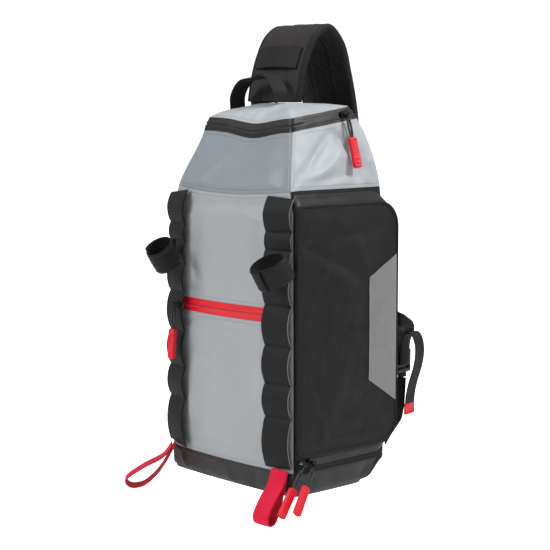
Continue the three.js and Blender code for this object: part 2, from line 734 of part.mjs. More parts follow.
function addRedLoops() {
  const top = DAISY_BOTTOM - 0.5;
  const seat = (x) => frontSurface(x, top) - SEAM_GAP - WEBBING - 1.2;
  const loops = [
    { name: 'right', x: DAISY_CENTRE + 4, reach: RED_LOOP_REACH, drop: RED_LOOP_DROP, turn: 0, stand: 1.2 },
    { name: 'left', x: -DAISY_CENTRE, reach: LEFT_LOOP_REACH, drop: RED_LOOP_DROP * 0.86, turn: -38, stand: 7.2 },
  ];
  for (const loop of loops) {
    const outDirection = vec(0, -1, 0).applyAxisAngle(vec(0, 0, 1), radians(loop.turn));
    const across = outDirection.clone().cross(vec(0, 0, 1)).negate();
    const start = vec(loop.x, seat(loop.x), top).addScaledVector(outDirection, loop.stand);
    const guides = loopGuides(loop.reach, loop.drop).map((g) =>
      start.clone().addScaledVector(outDirection, g.out).add(vec(0, 0, -g.down)),
    );
    const points = smoothPath(guides, 20);
    addPiece(`red_loop_${loop.name}`, bandBody(stationsAlong(points, across), RED_LOOP_WIDTH, WEBBING), COLOURS.red, 0.7);
  }
}

// Side pocket on the right: a domed outer panel in a rounded rectangle, a gusset that widens
// towards the rear, and piping round the panel's edge. Its zip runs in the gusset.
function sideSurface(y, level) {
  const c = cornersAt(level);
  const t = (y - c.front) / (c.back - c.front);
  const bow = c.bulge * 0.25 * 4 * Math.max(0, t * (1 - t));
  return lerp(c.halfFront, c.halfBack, t) + bow;
}

// The pocket's edge as a closed loop of places on the side, with how far the panel stands out there
function pocketEdge(inset, cornerSteps, sideSteps) {
  const c = cornersAt(BODY_HEIGHT / 2);
  const low = POCKET_BOTTOM + inset;
  const high = POCKET_TOP - inset;
  const near = c.front + POCKET_FRONT_MARGIN + inset;
  const far = c.back - POCKET_REAR_MARGIN - inset;
  const big = POCKET_CORNER - inset;
  const small = Math.max(3, 7 - inset);
  const corners = [
    { y: near, z: low, r: small, from: 180 },
    { y: far, z: low, r: big, from: 270 },
    { y: far, z: high, r: big, from: 0 },
    { y: near, z: high, r: small, from: 90 },
  ];
  const places = [];
  corners.forEach((corner, k) => {
    const cy = corner.y + (k === 0 || k === 3 ? corner.r : -corner.r);
    const cz = corner.z + (k < 2 ? corner.r : -corner.r);
    for (let i = 0; i <= cornerSteps; i += 1) {
      const angle = radians(corner.from + (90 * i) / cornerSteps);
      places.push({ y: cy + Math.cos(angle) * corner.r, z: cz + Math.sin(angle) * corner.r });
    }
    const next = corners[(k + 1) % 4];
    const last = places[places.length - 1];
    const ny = next.y + ((k + 1) % 4 === 0 || (k + 1) % 4 === 3 ? next.r : -next.r);
    const nz = next.z + ((k + 1) % 4 < 2 ? next.r : -next.r);
    const target = {
      y: ny + Math.cos(radians(next.from)) * next.r,
      z: nz + Math.sin(radians(next.from)) * next.r,
    };
    for (let i = 1; i < sideSteps[k]; i += 1) {
      const t = i / sideSteps[k];
      places.push({ y: lerp(last.y, target.y, t), z: lerp(last.z, target.z, t) });
    }
  });
  return places;
}

const POCKET_LEVEL_STEPS = [4, 6, 4, 6];

// The patch's front and rear edges as shares of the bag's depth, and the lower and upper ends of each
// edge as shares of the body height, front edge first
const PATCH = 0.8;
const PATCH_FRONT = 0.625;
const PATCH_REAR = 0.895;
const PATCH_LOW = [0.36, 0.275];
const PATCH_HIGH = [0.705, 0.775];

// Outer face of the pocket panel. It lies in the plane of the bag's front corner, so it stands off
// the side wall more and more towards the rear, and it is domed between its edges. Below the top near
// the front it dips inwards, as an empty pocket does.
function pocketFace(y, z) {
  const c = cornersAt(BODY_HEIGHT / 2);
  const clampUnit = (t) => Math.max(0, Math.min(1, t));
  const across = clampUnit((y - c.front) / (c.back - POCKET_REAR_MARGIN - c.front));
  const up = clampUnit((z - POCKET_BOTTOM) / (POCKET_TOP - POCKET_BOTTOM));
  const dome = POCKET_DOME * Math.sin(Math.PI * across) ** 0.7 * Math.sin(Math.PI * up) ** 0.7;
  const dent = POCKET_DOME * 0.8 * hump((across - 0.28) / 0.2) * hump((up - 0.62) / 0.3);
  return HALF_WIDTH + POCKET_FRONT_LIFT + dome - dent;
}

function addSidePocket() {
  // Panel: rings from its edge to its middle on the outer face, then back on the inner face
  const rings = [];
  const edge = pocketEdge(PIPING / 2 + SEAM_GAP, 4, POCKET_LEVEL_STEPS);
  const middle = { y: 0, z: 0 };
  for (const p of edge) {
    middle.y += p.y / edge.length;
    middle.z += p.z / edge.length;
  }
  const ringAt = (share, drop) =>
    edge.map((p) => {
      const y = lerp(middle.y, p.y, share);
      const z = lerp(middle.z, p.z, share);
      return vec(pocketFace(y, z) - drop, y, z);
    });
  for (const share of [0.25, 0.55, 0.8, 1]) rings.push(ringAt(share, 0));
  for (const share of [1, 0.8, 0.55, 0.25]) rings.push(ringAt(share, CLOTH));
  addPiece('pocket_panel_right', bodyThroughRings(rings), COLOURS.black, 0.8);

  // Patch: a sheet with four corners, laminated on the rear part of the panel
  const patch = [0, 0.2, 0.4, 0.6, 0.8, 1].map((up) =>
    [0, 0.33, 0.67, 1].map((t) => {
      const share = (rows) => lerp(rows[0], rows[1], t);
      const y = FRONT_Y + BAG_DEPTH * share([PATCH_FRONT, PATCH_REAR]);
      const low = BODY_HEIGHT * share(PATCH_LOW);
      const high = BODY_HEIGHT * share(PATCH_HIGH);
      const z = lerp(low, high, up);
      return vec(pocketFace(y, z) + SEAM_GAP + PATCH, y, z);
    }),
  );
  addPiece('reflective_patch', wallFromGrid(patch, PATCH), COLOURS.patch, 0.5);

  // Piping: a cord under cloth that follows the panel's edge
  const pipe = pocketEdge(0, 4, POCKET_LEVEL_STEPS).map((p) =>
    vec(pocketFace(p.y, p.z) - PIPING * 0.3, p.y, p.z),
  );
  addPiece('pocket_piping_right', tubeBody(pipe, PIPING / 2 - 0.1, 5, true), COLOURS.black, 0.7);

  // Gusset: a wall from the side of the bag out to the piping, all round the panel. It spreads where
  // it meets the bag above, below and behind the panel, and stands straight along the front.
  const inner = pocketEdge(0, 4, POCKET_LEVEL_STEPS);
  const thin = pocketEdge(CLOTH, 4, POCKET_LEVEL_STEPS);
  const middleLevel = (POCKET_TOP + POCKET_BOTTOM) / 2;
  const halfRise = (POCKET_TOP - POCKET_BOTTOM) / 2;
  const nearest = cornersAt(BODY_HEIGHT / 2).front + POCKET_FRONT_MARGIN;
  const spread = (p) => {
    const up = (p.z - middleLevel) / halfRise;
    const back = Math.max(0, Math.min(1, (p.y - nearest) / (BAG_DEPTH * 0.84)));
    return {
      y: p.y + POCKET_FLARE * 0.5 * back ** 6,
      z: p.z + POCKET_FLARE * Math.sign(up) * Math.abs(up) ** 8,
    };
  };
  const ringOf = (places, height) => places.map((p) => vec(height(p), p.y, p.z));
  const seat = (p) => sideSurface(p.y, p.z) + SEAM_GAP + 0.5;
  const top = (p) => pocketFace(p.y, p.z) - PIPING * 0.3 - PIPING / 2 - SEAM_GAP;
  const gusset = [
    ringOf(inner.map(spread), seat),
    ringOf(inner, top),
    ringOf(thin, top),
    ringOf(thin.map(spread), seat),
  ];
  addPiece('pocket_gusset_right', bodyThroughRings(gusset, true), COLOURS.black, 0.85);
}

// Shoulder strap: a padded band that rises from the crest of the lid, arches over and goes down
// behind the back, where it runs out into plain webbing.
const STRAP_ROOT_Y = LID_CENTRE.y + HOOD_TOP_DEPTH * 0.105;
const CREST_LEVEL = RIM_LEVEL + ZIP_BAND_HEIGHT + LID_CROWN;
const STRAP_TOP = CREST_LEVEL + STRAP_RISE;
const BACK_Y = FRONT_Y + BAG_DEPTH;
const STRAP_ROWS = [
  { along: 0.0, up: 0.0 },
  { along: 0.05, up: 0.28 },
  { along: 0.15, up: 0.6 },
  { along: 0.31, up: 0.88 },
  { along: 0.54, up: 1.0 },
  { along: 0.78, up: 0.78 },
  { along: 0.9, up: 0.42 },
  { along: 1.01, up: -0.04 },
];
function strapGuides() {
  const rise = STRAP_RISE - STRAP_THICKNESS / 2;
  const low = CREST_LEVEL + 1.2;
  const guides = STRAP_ROWS.map((row) =>
    vec(-STRAP_OFFSET, STRAP_ROOT_Y + STRAP_SPAN * row.along, low + (rise - 1.2) * row.up),
  );
  const behind = BACK_Y + STRAP_THICKNESS + 1;
  guides.push(vec(-STRAP_OFFSET + 10, behind, CREST_LEVEL - 70));
  guides.push(vec(-STRAP_OFFSET + 28, behind + 1, STRAP_TAIL_LEVEL + 60));
  guides.push(vec(-STRAP_OFFSET + 50, behind + 1, STRAP_TAIL_LEVEL));
  return guides;
}

function addStrap() {
  const points = smoothPath(strapGuides(), 34);
  const stations = stationsAlong(points, vec(1, 0, 0));
  const count = stations.length;
  stations.forEach((s, i) => {
    const t = i / (count - 1);
    s.widthShare = 1 - 0.42 * smooth((t - 0.66) / 0.34);
  });
  addPiece('strap_pad', bandBody(stations, STRAP_WIDTH, STRAP_THICKNESS), COLOURS.black, 0.85);

  // Keeper: a webbing sewn at both its ends across the strap's outer face, bowed in the middle
  const at = stations[Math.round(count * 0.115)];
  const half = STRAP_WIDTH * 0.4;
  const steps = 10;
  const keeper = Array.from({ length: steps + 1 }, (_, i) => {
    const t = (i / steps) * 2 - 1;
    const stand = STRAP_THICKNESS / 2 + SEAM_GAP + WEBBING / 2 + 5 * (1 - t * t);
    return at.middle.clone().addScaledVector(at.across, t * half).addScaledVector(at.out, faceSign(at) * stand);
  });
  const along = at.out.clone().cross(at.across);
  addPiece('strap_keeper', bandBody(stationsAlong(keeper, along), STRAP_LOOP_WIDTH, WEBBING), COLOURS.webbing, 0.85);
  return { points, stations };
}

// +1 where a station's face already looks away from the bag's back, -1 where it looks inwards
function faceSign(station) {
  return station.out.y < 0 ? 1 : -1;
}

// Grab handle: narrow webbing in an arch in front of the strap
function addHandle() {
  const y = STRAP_ROOT_Y - 20;
  const half = HANDLE_SPAN / 2;
  const middle = -STRAP_OFFSET - 2;
  const foot = (x) => lidHeight(middle + x, y) + SEAM_GAP + 0.8;
  const guides = [
    vec(middle - half, y, foot(-half)),
    vec(middle - half * 0.93, y - 2, foot(-half) + HANDLE_RISE * 0.42),
    vec(middle - half * 0.55, y - 3, foot(-half) + HANDLE_RISE * 0.88),
    vec(middle, y - 3, foot(-half) + HANDLE_RISE),
    vec(middle + half * 0.55, y - 3, foot(half) + HANDLE_RISE * 0.88),
    vec(middle + half * 0.93, y - 2, foot(half) + HANDLE_RISE * 0.42),
    vec(middle + half, y, foot(half)),
  ];
  const points = smoothPath(guides, 18);
  addPiece('grab_handle', bandBody(stationsAlong(points, vec(0, 1, 0)), HANDLE_WIDTH, WEBBING), COLOURS.webbing, 0.85);
}

// Height of the lid at a place, found from the same dome
function lidHeight(x, y) {
  const reachX = lerp(HOOD_TOP_FRONT_WIDTH, HOOD_TOP_BACK_WIDTH, 0.5) / 2 - 3;
  const dx = x / reachX;
  const dy = (y - LID_CENTRE.y) / (HOOD_TOP_DEPTH / 2);
  const share = Math.min(1, Math.max(Math.abs(dx), Math.abs(dy)));
  const rim = RIM_LEVEL + ZIP_BAND_HEIGHT - 1 + (y - HOOD_FRONT_Y) * RIM_TILT;
  return lerp(CREST_LEVEL, rim, share ** 2.6);
}

// Stabiliser wing: a padded tab that stands out of the back's right corner and carries the adjuster.
// Its reach is a share of its full reach at each level, and levels are shares of its height.
const WING_ROWS = [
  { level: 0.0, reach: 0.1 },
  { level: 0.12, reach: 0.42 },
  { level: 0.35, reach: 0.88 },
  { level: 0.6, reach: 1.0 },
  { level: 1.0, reach: 1.0 },
];
function wingFrame(level) {
  const out = surfaceNormal(rear, (WING_TOP + WING_BOTTOM) / 2).setZ(0).normalize();
  const root = surfacePoint(rear, level).addScaledVector(out, SEAM_GAP + 0.8);
  return { root, out, side: vec(out.y, -out.x, 0) };
}

function addWing() {
  const thickness = PADDED_BACK * 0.7;
  const rings = WING_ROWS.map((row) => {
    const level = lerp(WING_BOTTOM, WING_TOP, row.level);
    const { root, out, side } = wingFrame(level);
    const tip = root.clone().addScaledVector(out, WING_REACH * row.reach);
    return [
      root.clone().addScaledVector(side, -thickness / 2),
      root.clone().addScaledVector(side, thickness / 2),
      tip.clone().addScaledVector(side, thickness / 2),
      tip.clone().addScaledVector(side, -thickness / 2),
    ];
  });
  addPiece('side_wing', bodyThroughRings(rings), COLOURS.black, 0.85);
}

// The way the adjuster's webbing runs across, and the way its loop stands out
const SLING_ACROSS = vec(0.25, -0.97, 0).normalize();
const SLING_OUT = vec(0.97, 0.25, 0).normalize();

// Ladder-lock adjuster: a moulded frame with slots between its bars, standing on edge above the wing
function addBuckle(centre) {
  const shape = new THREE.Shape();
  const halfW = BUCKLE_WIDTH / 2;
  const halfL = BUCKLE_LENGTH / 2;
  shape.moveTo(-halfW, -halfL);
  shape.lineTo(halfW, -halfL);
  shape.lineTo(halfW, halfL);
  shape.lineTo(-halfW, halfL);
  const slots = 3;
  const slotHalf = halfW - BUCKLE_BAR;
  const slotLength = (BUCKLE_LENGTH - (slots + 1) * BUCKLE_BAR) / slots;
  for (let k = 0; k < slots; k += 1) {
    const low = -halfL + BUCKLE_BAR + k * (slotLength + BUCKLE_BAR);
    const hole = new THREE.Path();
    hole.moveTo(-slotHalf, low);
    hole.lineTo(-slotHalf, low + slotLength);
    hole.lineTo(slotHalf, low + slotLength);
    hole.lineTo(slotHalf, low);
    shape.holes.push(hole);
  }
  const geometry = new THREE.ExtrudeGeometry(shape, { depth: BUCKLE_BAR, bevelEnabled: false });
  geometry.translate(0, 0, -BUCKLE_BAR / 2);
  const frame = new THREE.Matrix4().makeBasis(SLING_ACROSS, vec(0, 0, 1), SLING_ACROSS.clone().cross(vec(0, 0, 1)));
  geometry.applyMatrix4(frame);
  geometry.translate(centre.x, centre.y, centre.z);
  addPiece('ladder_lock', mergedCopy(geometry), COLOURS.hard, 0.4);
}

// The tail's path beside the adjuster, out and up as shares of the loop's reach and height
const TAIL_ROWS = [
  { out: 0.0, up: -0.1 },
  { out: 0.03, up: 0.3 },
  { out: 0.12, up: 0.72 },
  { out: 0.36, up: 0.97 },
  { out: 0.68, up: 0.97 },
  { out: 0.93, up: 0.72 },
  { out: 1.0, up: 0.34 },
  { out: 0.87, up: -0.12 },
  { out: 0.6, up: -0.6 },
  { out: 0.43, up: -1.0 },
  { out: 0.36, up: -1.35 },
];

function addLowerStrap(strap) {
  const { root, out } = wingFrame(WING_TOP);
  const tip = root.clone().addScaledVector(out, WING_REACH * 0.72);
  const centre = tip.clone().setZ(WING_TOP + BUCKLE_LENGTH / 2 + 6);
  addBuckle(centre);
  const faceGap = BUCKLE_BAR / 2 + SEAM_GAP + WEBBING / 2 + 0.15;

  // Sling webbing: from the end of the padded strap, over a fold and down to the adjuster's face
  const count = strap.points.length;
  const end = strap.points[count - 1];
  const heading = end.clone().sub(strap.points[count - 2]).normalize();
  const foldTop = centre.z + TAIL_RISE + BUCKLE_LENGTH * 0.15;
  const outOf = (distance, level) => centre.clone().addScaledVector(SLING_OUT, distance).setZ(level);
  const behind = BACK_Y + STRAP_THICKNESS + 9;
  const guides = [
    end.clone().addScaledVector(heading, SEAM_GAP + 0.6),
    end.clone().addScaledVector(heading, SLING_WEBBING_WIDTH * 0.4),
    vec(lerp(end.x, centre.x, 0.5), behind, lerp(end.z, foldTop, 0.7)),
    vec(centre.x - 18, behind + 2, foldTop + 3),
    vec(centre.x - 7, behind + 1, foldTop),
    outOf(-faceGap - 0.8, foldTop - BUCKLE_LENGTH * 0.55),
    outOf(-faceGap - 0.3, centre.z + BUCKLE_LENGTH * 0.46),
    outOf(-faceGap - 0.3, centre.z + BUCKLE_LENGTH * 0.1),
  ];
  const flat = strap.stations[count - 1].across;
  const sling = stationsAlong(smoothPath(guides, 18), [flat, SLING_ACROSS.clone().negate(), 0.5, 0.84]);
  addPiece('sling_webbing', bandBody(sling, SLING_WEBBING_WIDTH, WEBBING), COLOURS.webbing, 0.85);

  // Anchor webbing: a doubled length that stands on the wing's top edge and holds the adjuster's lower bar
  const lowBar = centre.z - BUCKLE_LENGTH / 2;
  const anchor = [outOf(0, WING_TOP + 0.6), outOf(0, (WING_TOP + lowBar) / 2), outOf(0, lowBar - 0.6)];
  const anchorStations = stationsAlong(anchor, SLING_ACROSS);
  addPiece('anchor_webbing', bandBody(anchorStations, WING_REACH, WEBBING * 2), COLOURS.webbing, 0.85);

  // Webbing tail: the free end that leaves the adjuster's outer face, loops over and hangs down
  const tail = TAIL_ROWS.map((row) => outOf(faceGap + TAIL_REACH * row.out, centre.z + TAIL_RISE * row.up));
  const tailPoints = smoothPath(tail, 20);
  const tailWidth = SLING_WEBBING_WIDTH * 0.8;
  addPiece('webbing_tail', bandBody(stationsAlong(tailPoints, SLING_ACROSS), tailWidth, WEBBING), COLOURS.webbing, 0.85);

  // Label: a folded tab on the tail's end
  const last = tailPoints[tailPoints.length - 1];
  const labelAt = (drop) => last.clone().add(vec(0, 0, -SEAM_GAP - 0.2 - drop));
  const label = stationsAlong([labelAt(0), labelAt(LABEL_HEIGHT)], SLING_ACROSS);
  addPiece('tail_label', bandBody(label, tailWidth * 1.08, WEBBING * 1.6), COLOURS.red, 0.6);
}

// Zip pulls. Each hangs across its zip: a wire link round the slider's bridge, a loop of cord through
// the link, and a moulded grip on the cord's ends.
const BRIDGE_CLEAR = 2.5;
const BRIDGE_TOP = SLIDER_PLATE + BRIDGE_CLEAR + BRIDGE_BAR;
function sliderGeometry() {
  const halfL = SLIDER_LENGTH / 2;
  const halfW = SLIDER_WIDTH / 2;
  const plate = new THREE.Shape();
  plate.moveTo(-halfL, -halfW * 0.65);
  plate.lineTo(halfL * 0.6, -halfW);
  plate.lineTo(halfL, -halfW * 0.5);
  plate.lineTo(halfL, halfW * 0.5);
  plate.lineTo(halfL * 0.6, halfW);
  plate.lineTo(-halfL, halfW * 0.65);
  const body = toSolid(mergedCopy(new THREE.ExtrudeGeometry(plate, { depth: SLIDER_PLATE, bevelEnabled: false })));
  const bridge = new THREE.Shape();
  const sunk = SLIDER_PLATE * 0.8;
  bridge.moveTo(-halfL * 0.75, sunk);
  bridge.lineTo(-halfL * 0.42, sunk);
  bridge.lineTo(-halfL * 0.3, BRIDGE_TOP - BRIDGE_BAR);
  bridge.lineTo(halfL * 0.3, BRIDGE_TOP - BRIDGE_BAR);
  bridge.lineTo(halfL * 0.42, sunk);
  bridge.lineTo(halfL * 0.75, sunk);
  bridge.lineTo(halfL * 0.55, BRIDGE_TOP);
  bridge.lineTo(-halfL * 0.55, BRIDGE_TOP);
  const arch = new THREE.ExtrudeGeometry(bridge, { depth: BRIDGE_WIDTH, bevelEnabled: false });
  arch.translate(0, 0, -BRIDGE_WIDTH / 2);
  arch.applyMatrix4(new THREE.Matrix4().makeBasis(vec(1, 0, 0), vec(0, 0, 1), vec(0, -1, 0)));
  return fromSolid(body.add(toSolid(mergedCopy(arch))));
}

// A frame whose Z looks off the cloth and whose -Y runs the way the pull hangs
function frameFor(normal, down) {
  const z = normal.clone().normalize();
  const y = down.clone().negate();
  y.addScaledVector(z, -y.dot(z)).normalize();
  const x = y.clone().cross(z);
  return new THREE.Matrix4().makeBasis(x, y, z);
}

function addZipPull(name, place, normal, down, lift) {
  const group = new THREE.Group();
  group.applyMatrix4(frameFor(normal, down));
  group.position.copy(place);
  holder.add(group);
  const hanging = new THREE.Group();
  const wire = LINK_WIRE / 2;
  const lowSide = SLIDER_PLATE + BRIDGE_CLEAR / 2;
  const highSide = BRIDGE_TOP + wire + SEAM_GAP;
  hanging.position.set(0, 0, (lowSide + highSide) / 2);
  hanging.rotation.x = -radians(lift);
  group.add(hanging);
  const put = (parent, piece, geometry, colour, roughness, metalness = 0) => {
    const mesh = addPiece(`${name}_${piece}`, geometry, colour, roughness, metalness);
    parent.add(mesh);
  };
  put(group, 'slider', sliderGeometry(), COLOURS.hard, 0.4, 0.3);

  // The link stands on edge round the bridge, its upper end just above it
  const half = (highSide - lowSide) / 2;
  const upper = BRIDGE_WIDTH / 2 + wire + SEAM_GAP;
  const lower = upper - LINK_LENGTH;
  const linkPoints = Array.from({ length: 12 }, (_, i) => {
    const angle = ((i + 0.5) / 12) * Math.PI * 2;
    const end = Math.sin(angle) > 0 ? upper - half : lower + half;
    return vec(0, end + Math.sin(angle) * half, Math.cos(angle) * half);
  });
  put(hanging, 'link', tubeBody(linkPoints, wire, 5, true), COLOURS.hard, 0.35, 0.5);

  // The cord passes through the link's lower end, its two ends side by side in the grip
  const r = CORD_DIAMETER / 2;
  const aside = r + wire + SEAM_GAP;
  const through = lower + wire + r + SEAM_GAP + 0.8;
  const foot = lower - CORD_LENGTH;
  const cordRows = [
    { x: -0.6, y: 0 },
    { x: -1, y: 0.4 },
    { x: -1, y: 0.8 },
    { x: 0, y: 1 },
    { x: 1, y: 0.8 },
    { x: 1, y: 0.4 },
    { x: 0.6, y: 0 },
  ];
  const cordGuides = cordRows.map((row) => vec(aside * row.x, lerp(foot, through, row.y), 0));
  put(hanging, 'cord', tubeBody(smoothPath(cordGuides, 14), r, 6), COLOURS.webbing, 0.8);

  const grip = gripGeometry();
  grip.translate(0, foot - SEAM_GAP - 0.2, 0);
  put(hanging, 'grip', grip, COLOURS.red, 0.5);
}

// Grip: a moulded tab with rounded corners, a little thicker in the middle
function gripGeometry() {
  const rows = [
    { level: 0, width: 0.78, thick: 0.7 },
    { level: 0.05, width: 1, thick: 0.95 },
    { level: 0.5, width: 0.97, thick: 1 },
    { level: 0.94, width: 1, thick: 0.9 },
    { level: 1, width: 0.8, thick: 0.6 },
  ];
  const rings = rows.map((row) => {
    const w = (GRIP_WIDTH / 2) * row.width;
    const h = (GRIP_THICKNESS / 2) * row.thick;
    const y = -GRIP_LENGTH * row.level;
    const cut = 0.72;
    return [
      vec(-w, y, -h * cut), vec(-w * 0.82, y, -h), vec(w * 0.82, y, -h), vec(w, y, -h * cut),
      vec(w, y, h * cut), vec(w * 0.82, y, h), vec(-w * 0.82, y, h), vec(-w, y, h * cut),
    ];
  });
  return bodyThroughRings(rings);
}

// Where the four pulls hang: at the rear of the lid's zip, at the left end of the front zip, and two
// together at the front of the pocket's zip, which runs in the gusset under the panel.
function addZipPulls() {
  const lidColumn = rear - HALF_CORNER - 0.4;
  const lidLevel = (BAND_LOW + BAND_HIGH) / 2;
  const slope = surfacePoint(lidColumn, BAND_LOW - 30).sub(surfacePoint(lidColumn, BAND_LOW));
  const lidNormal = surfaceNormal(lidColumn, BAND_LOW - 12);
  const lidPlace = surfacePoint(lidColumn, lidLevel).addScaledVector(lidNormal, SEAM_GAP * 3);
  slope.setY(0).normalize();
  addZipPull('lid_pull', lidPlace, lidNormal, slope, 2);

  const frontX = -DAISY_CENTRE + DAISY_WIDTH * 0.34;
  const frontLevel = (FRONT_ZIP_LEVEL + ZIP_TOP) / 2;
  const frontY = frontSurface(frontX, frontLevel) - DAISY_BULGE - WEBBING * 2 - SEAM_GAP * 8;
  addZipPull('front_pull', vec(frontX, frontY, frontLevel), vec(0, -1, 0), vec(0, 0, -1), 4);

  const near = cornersAt(BODY_HEIGHT / 2).front + POCKET_FRONT_MARGIN;
  const zipLevel = POCKET_BOTTOM - POCKET_FLARE * 0.66;
  const rows = [
    { name: 'pocket_pull_a', back: 6, seat: 0.42, lean: -0.72, lift: 3 },
    { name: 'pocket_pull_b', back: 20, seat: 0.66, lean: -0.8, lift: 12 },
  ];
  for (const row of rows) {
    const place = vec(HALF_WIDTH + POCKET_FRONT_LIFT * row.seat, near + row.back, zipLevel);
    addZipPull(row.name, place, vec(1, 0, 0), vec(0, row.lean, -1), row.lift);
  }
}

addBase();
addBodyPanels();
addHood();
addZipBand();
addLid();
addDaisyChains();
addRodRings();
addRedLoops();
addSidePocket();
const strap = addStrap();
addHandle();
addWing();
addLowerStrap(strap);
addZipPulls();

// The point under the crown of the strap, where it sits on a shoulder or a peg
const HANG_POINT = vec(-STRAP_OFFSET, STRAP_ROOT_Y + STRAP_SPAN * 0.54, STRAP_TOP - STRAP_THICKNESS);
holder.position.copy(HANG_POINT).negate();

export default bag;
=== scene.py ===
import math
from collections import namedtuple

import bpy
import numpy as np
from mathutils import Euler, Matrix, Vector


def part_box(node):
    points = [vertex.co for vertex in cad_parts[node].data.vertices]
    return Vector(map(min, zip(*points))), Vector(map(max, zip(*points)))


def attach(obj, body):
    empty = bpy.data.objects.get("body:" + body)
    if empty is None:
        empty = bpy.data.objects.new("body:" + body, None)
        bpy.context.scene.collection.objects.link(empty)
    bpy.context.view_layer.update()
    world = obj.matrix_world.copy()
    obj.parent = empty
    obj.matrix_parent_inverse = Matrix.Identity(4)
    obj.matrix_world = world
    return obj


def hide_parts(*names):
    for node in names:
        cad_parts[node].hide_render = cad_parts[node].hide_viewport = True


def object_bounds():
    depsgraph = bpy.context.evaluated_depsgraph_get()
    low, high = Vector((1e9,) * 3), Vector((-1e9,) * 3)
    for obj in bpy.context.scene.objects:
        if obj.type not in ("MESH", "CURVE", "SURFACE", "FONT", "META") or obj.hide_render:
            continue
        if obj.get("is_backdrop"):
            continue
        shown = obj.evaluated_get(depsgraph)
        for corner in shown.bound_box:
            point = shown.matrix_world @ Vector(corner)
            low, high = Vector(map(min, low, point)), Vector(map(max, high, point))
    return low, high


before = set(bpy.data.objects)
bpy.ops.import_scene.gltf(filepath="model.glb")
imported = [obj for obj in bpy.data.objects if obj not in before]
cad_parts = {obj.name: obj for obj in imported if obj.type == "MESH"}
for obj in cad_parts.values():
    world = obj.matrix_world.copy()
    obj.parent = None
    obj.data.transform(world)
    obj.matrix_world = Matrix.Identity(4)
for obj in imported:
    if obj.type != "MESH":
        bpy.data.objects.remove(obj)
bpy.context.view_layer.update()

bl_info = {
    "name": "Tackle sling bag",
    "version": (1, 0, 0),
    "blender": (4, 5, 0),
    "location": "View3D > Sidebar > Sling bag",
    "description": "Dresses the sling bag's frame with cloth, webbing, zips and trim",
    "category": "Object",
}

BODY = "root"
MATERIALS = {}
WEBBING = ("webbing_black", ("webbing",))


# Sizes. They repeat the frame's own, so that every piece lies where its solid is.
def length(default, name, description):
    """A size in metres for a property group."""
    return bpy.props.FloatProperty(name=name, description=description, default=default,
                                   unit="LENGTH")


class BagSizes(bpy.types.PropertyGroup):
    """Sizes of the bag's body and hood."""

    width: length(0.209, "Width", "Width of the bag's front")
    depth: length(0.164, "Depth", "Depth of the bag")
    body: length(0.325, "Body height", "Height from the base to the hood's seam")
    hood: length(0.062, "Hood height", "Height of the hood")
    top_front: length(0.150, "Hood front width", "Width of the hood's top at the front")
    top_back: length(0.152, "Hood back width", "Width of the hood's top at the back")
    top_depth: length(0.102, "Hood top depth", "Depth of the hood's top")
    setback: length(0.024, "Setback", "How far the hood's top lies behind the front")
    crown: length(0.0155, "Crown", "Height of the lid's dome")
    base: length(0.026, "Base", "Height of the coated base")
    band: length(0.014, "Zip band", "Height of the lid's zip band")
    zip_level: length(0.185, "Zip level", "Height of the front zip's lower edge")
    zip_height: length(0.015, "Zip height", "Height of the front zip's tape")
    cloth: length(0.002, "Cloth", "Thickness of a cloth wall")
    padded_back: length(0.006, "Padded back", "Thickness of the padded back")


class TrimSizes(bpy.types.PropertyGroup):
    """Sizes of the webbing, strap, pocket and trim."""

    daisy: length(0.038, "Daisy webbing", "Width of the ladder webbing")
    webbing: length(0.0016, "Webbing", "Thickness of webbing")
    bulge: length(0.006, "Bow", "How far the ladder webbing stands off between its stitches")
    ring_radius: length(0.0175, "Ring radius", "Radius of a rod ring")
    ring_height: length(0.026, "Ring height", "Width of a rod ring's strap")
    ring_level: length(0.243, "Ring level", "Height at which the rod rings are held")
    loop_width: length(0.025, "Loop width", "Width of the red webbing")
    loop_drop: length(0.056, "Loop drop", "How far the right red loop hangs")
    pocket_depth: length(0.014, "Pocket depth", "Depth of the side pocket")
    pocket_top: length(0.309, "Pocket top", "Height of the pocket's top edge")
    pocket_bottom: length(0.044, "Pocket bottom", "Height of the pocket's bottom edge")
    piping: length(0.004, "Piping", "Thickness of the piping")
    strap: length(0.085, "Strap width", "Width of the padded strap")
    pad: length(0.008, "Strap thickness", "Thickness of the padded strap")
    rise: length(0.088, "Strap rise", "Height of the strap's arch above the lid")
    span: length(0.085, "Strap span", "Depth of the strap's arch")
    offset: length(0.025, "Strap offset", "How far the strap stands left of the middle")
    handle: length(0.022, "Handle width", "Width of the carry handle")
    handle_rise: length(0.033, "Handle rise", "Height of the carry handle")
    buckle: length(0.025, "Buckle length", "Length of the adjuster")
    wing_reach: length(0.017, "Wing reach", "Reach of the stabiliser wing")


def linear(*rgb):
    """Linear colour from 0 to 255 screen values."""
    return tuple(((c / 255 + 0.055) / 1.055) ** 2.4 if c > 10 else c / 255 / 12.92 for c in rgb)


def color(rgb, name, description):
    """A colour for a property group."""
    return bpy.props.FloatVectorProperty(name=name, description=description, default=linear(*rgb),
                                         size=3, min=0, max=1, subtype="COLOR")


